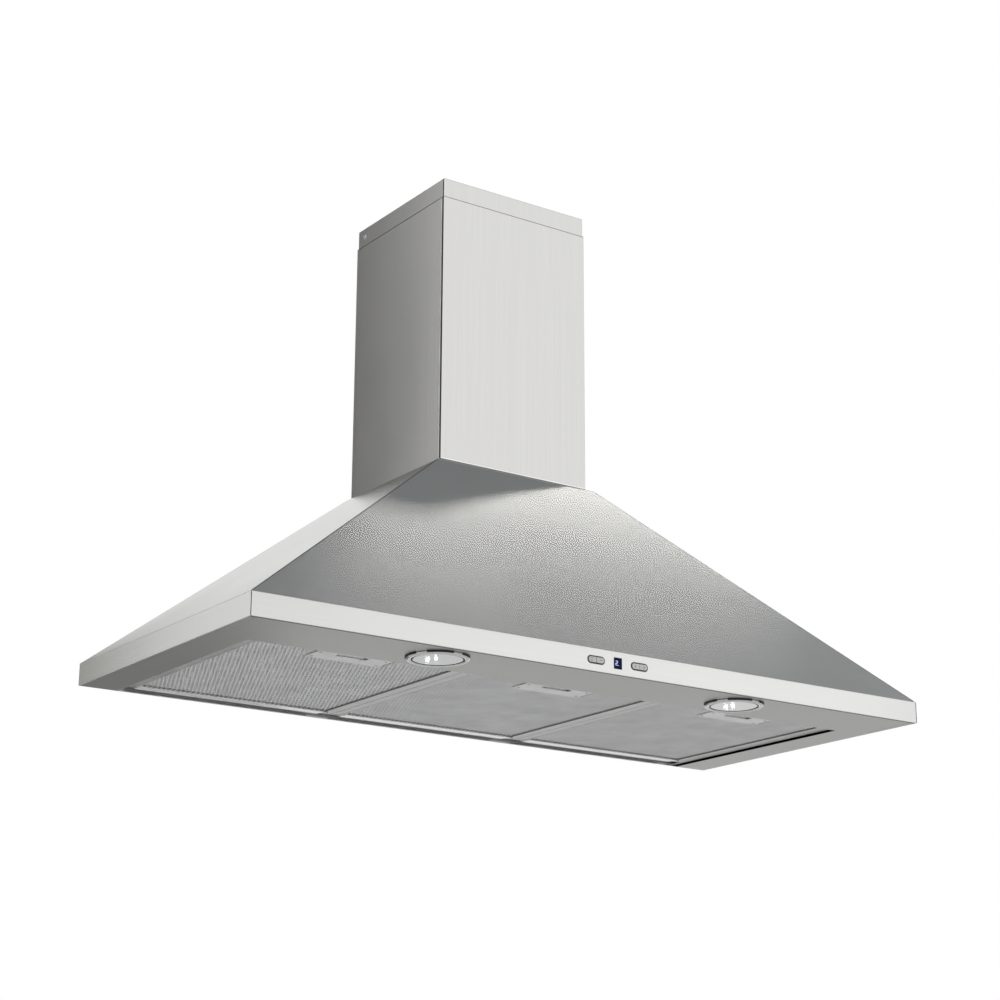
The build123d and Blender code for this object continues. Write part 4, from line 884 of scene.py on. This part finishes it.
# Along the chimney's front foot: a dark strip of painted shade, and above it a bright strip that is a painted
# highlight.
for name, z, width, paint in (("shadow", 77.6, 1.5, dark_seam_and_shade), ("glint", 79.2, 1.5, bright_rail_and_highlight)):
    foot = bar((lower_low.x, lower_low.y, z * MM), (lower_high.x, lower_low.y, z * MM),
               width * MM, 0.06 * MM, (0, -1, 0))
    piece(f"foot_{name}", *foot, paint, "canopy", "chimney_steel")
edge = bar((-half_width + 1.5 * MM, -392.6 * MM, z_under), (half_width - 1.5 * MM, -392.6 * MM, z_under),
           2.6 * MM, 0.06 * MM, (0, 0, -1))
piece("front_edge_seam", *edge, soft_seam_and_shade, "canopy", "canopy_steel")

# The closing strip beside the right filter, and a bright strip along the foot of the rear panel that is a
# painted highlight.
outline = [(395.6, -303.0), (400.2, -303.0), (400.2, -1.0), (395.6, -1.0)]
strip = slab([(x * MM, y * MM, -197.7 * MM) for x, y in outline], 0.8 * MM, (0, 0, -1))
piece("closing_strip", *strip, filter_metal, "canopy", "galvanised")
# A bright strip along the rear panel's foot: a painted highlight.
outline = [(-402.5, -200.0), (402.5, -200.0), (402.5, -198.2), (-402.5, -198.2)]
glint = slab([(x * MM, -1.6 * MM, z * MM) for x, z in outline], 0.6 * MM, (0, -1, 0))
piece("rear_glint", *glint, bright_rail_and_highlight, "canopy", "galvanised")

# ---------------------------------------------------------------- screws
screws("foot_screws", [(s * 98.2, y, 75.8) for s in (-1, 1) for y in (-75, -45)], (0, 0, 1))
flange_places = []
for k in range(8):
    angle = math.radians(22.5 + 45 * k)
    flange_places.append((80.6 * math.cos(angle), COLLAR_Y + 80.6 * math.sin(angle), 76.5))
screws("collar_screws", flange_places, (0, 0, 1), 2.9, 1.8)
for name, sign in (("left", -1), ("right", 1)):
    screws(f"cover_screws_{name}", [(sign * 103.9, -15, UPPER_SCREW_Z)], (sign, 0, 0), 3.4, 1.0,
           "upper_chimney")
screws("bracket_screws", [(x, -1.6, UPPER_SCREW_Z) for x in (-60, 60)], (0, -1, 0), 4.2, 2.4,
       "upper_chimney")
box_low, box_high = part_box("power_box_lid")
lid_x = (box_low.x / MM + 6, box_high.x / MM - 6)
lid_z = (box_low.z / MM + 6, box_high.z / MM - 6)
screws("lid_screws", [(x, box_low.y / MM, z) for x in lid_x for z in lid_z], (0, -1, 0), 2.8, 1.6)
guard_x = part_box("inlet_guard")[0].x / MM
guard_places = []
for k in range(6):
    angle = math.radians(30 + 60 * k)
    guard_places.append((guard_x, FAN_Y + 65 * math.cos(angle), FAN_Z + 65 * math.sin(angle)))
screws("guard_screws", guard_places, (-1, 0, 0), 3.0, 1.8)
arm_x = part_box("motor_bracket")[1].x / MM
arm_places, bolt_places = [], []
for k in range(3):
    angle = math.radians(90 + 120 * k)
    arm_places.append((arm_x, FAN_Y + 66 * math.cos(angle), FAN_Z + 66 * math.sin(angle)))
    bolt_places.append((arm_x, FAN_Y + 20 * math.cos(angle), FAN_Z + 20 * math.sin(angle)))
screws("arm_screws", arm_places, (1, 0, 0), 3.4, 2.0)
screws("motor_screws", bolt_places, (1, 0, 0), 3.0, 2.0)

# ---------------------------------------------------------------- blower details
for name, sign in (("left", -1), ("right", 1)):
    # The rolled bell-mouth lip round each inlet.
    lip = [(58.0, 0.0), (57.8, 1.2), (57.0, 2.6), (55.8, 3.4), (55.4, 3.0), (56.4, 2.0), (57.0, 0.6),
           (57.2, 0.0)]
    profile = [(r * MM, -h * MM) for r, h in lip]
    centre = (sign * VOLUTE_HALF * MM, FAN_Y * MM, FAN_Z * MM)
    piece(f"bell_mouth_{name}", *lathe(profile, centre, (sign, 0, 0), 72), galvanised, "canopy", "galvanised",
          smooth=True)

# The motor's laminated stack.
stack = []
for i in range(15):
    x = 22 + i * 1.5
    stack += [(38.25, x), (38.25, x + 0.9), (37.9, x + 0.95), (37.9, x + 1.45)]
profile = [(r * MM, h * MM) for r, h in stack]
piece("stator_stack", *lathe(profile, (0, FAN_Y * MM, FAN_Z * MM), (1, 0, 0), 96), shaft_steel,
      "canopy", "motor_paint", smooth=True)

# ---------------------------------------------------------------- lights, world and floor
floor_half, floor_z = 9.0, -1.75
floor = bpy.data.objects.new("floor", bpy.data.meshes.new("floor"))
floor.data.from_pydata(
    [(-floor_half, -floor_half, floor_z), (floor_half, -floor_half, floor_z),
     (floor_half, floor_half, floor_z), (-floor_half, floor_half, floor_z)], [], [[0, 1, 2, 3]])
floor.data.materials.append(pale_floor("floor"))
bpy.context.scene.collection.objects.link(floor)


def soft_light(name, place, target, size, power, color=(1.0, 1.0, 1.0), along=None):
    data = bpy.data.lights.new(name, "AREA")
    data.shape = "RECTANGLE"
    data.size, data.size_y = size
    data.energy = power
    data.color = color
    item = bpy.data.objects.new(name, data)
    item.location = place
    back = (Vector(place) - Vector(target)).normalized()
    item.rotation_euler = back.to_track_quat("Z", "Y").to_euler()
    if along:
        long_side = (Vector(along) - back * back.dot(Vector(along))).normalized()
        item.rotation_euler = Matrix((long_side.cross(back), long_side, back)).transposed().to_euler()
    bpy.context.scene.collection.objects.link(item)


soft_light("overhead", (-0.4, -2.6, 3.2), (0, -0.2, 0), (2.0, 2.0), 14, (1.0, 0.99, 0.97))
soft_light("low_strip", (2.1, -3.1, 0.42), (0, -0.3, -0.18), (1.6, 0.5), 0.8)
soft_light("floor_pool", (5.6, 5.0, 0.6), (5.6, 5.0, -2.0), (2.5, 2.5), 13)

high_target = Vector((0.05, -0.23, 0.05))
soft_light("high_strip", high_target + Vector((0.59, 0.146, 0.794)) * 3.0, high_target, (0.12, 1.2), 3.9,
           (1.0, 0.98, 0.94), (-0.8, 0.0, 0.6))

# Two small catch lights for each lamp glass: the place of each bright spot and the way it mirrors to.
CATCH_DISTANCE, CATCH_SIZE, CATCH_POWER = 4.2, (0.009, 0.007), 0.0022
CATCHES = (
    (-213.9, -345.8, (0.5287, 0.8188, -0.2238)), (-214.1, -363.3, (0.5319, 0.8163, -0.2252)),
    (194.0, -345.0, (0.6393, 0.7418, -0.2027)), (191.9, -360.1, (0.6416, 0.7395, -0.2037)),
)
for number, (x, y, out) in enumerate(CATCHES):
    spot = Vector((x * MM, y * MM, LENS_FACE * MM))
    soft_light(f"catch_{number}", spot + Vector(out) * CATCH_DISTANCE, spot, CATCH_SIZE, CATCH_POWER)


def flag(name, corners, low_color, high_color, low, high):
    """A grey studio flag that only the steel sees, darker towards its top."""
    item = bpy.data.objects.new(name, bpy.data.meshes.new(name))
    item.data.from_pydata(corners, [], [[0, 1, 2, 3]])
    cloth = Paint(name, 0.9)
    weave = cloth.noise(cloth.place, 40.0, 3.0)
    tone = cloth.mix(cloth.span(cloth.axes[2], low, high), low_color, high_color)
    cloth.put("Base Color", cloth.mix(cloth.math("MULTIPLY", weave, 0.1), tone, (0.3, 0.3, 0.29, 1)))
    item.data.materials.append(cloth.material)
    bpy.context.scene.collection.objects.link(item)
    item.visible_camera = False
    item.visible_diffuse = False
    item.visible_shadow = False


flag("wall_flag", [(-1.07, 1.2, -0.25), (-0.05, 1.2, -0.25), (-0.05, 1.2, 1.6), (-1.07, 1.2, 1.6)],
     (0.29, 0.29, 0.265, 1), (0.075, 0.075, 0.066, 1), 0.2, 0.5)
flag("floor_flag", [(-0.8, 3.0, -1.74), (1.42, 3.0, -1.74), (1.42, 3.0, -0.5), (-0.8, 3.0, -0.5)],
     (0.22, 0.22, 0.215, 1), (0.16, 0.16, 0.155, 1), -1.5, -0.6)

world = bpy.data.worlds.new("studio")
bpy.context.scene.world = world
world.use_nodes = True
sky = Graph(world.node_tree)
direction = sky.add("ShaderNodeSeparateXYZ", {0: sky.add("ShaderNodeTexCoord").outputs["Generated"]}).outputs
tone = sky.ramp(sky.span(direction[2], -1.0, 1.0), [
    (0.0, (0.80, 0.80, 0.79)),
    (0.49, (0.96, 0.96, 0.95)),
    (0.51, (1.0, 1.0, 1.0)),
    (0.775, (1.0, 1.0, 1.0)),
    (0.84, (0.38, 0.39, 0.40)),
    (0.885, (0.25, 0.26, 0.27)),
    (1.0, (0.20, 0.205, 0.215)),
])
background = world.node_tree.nodes["Background"]
sky.set(background.inputs["Color"], tone)
background.inputs["Strength"].default_value = 1.0
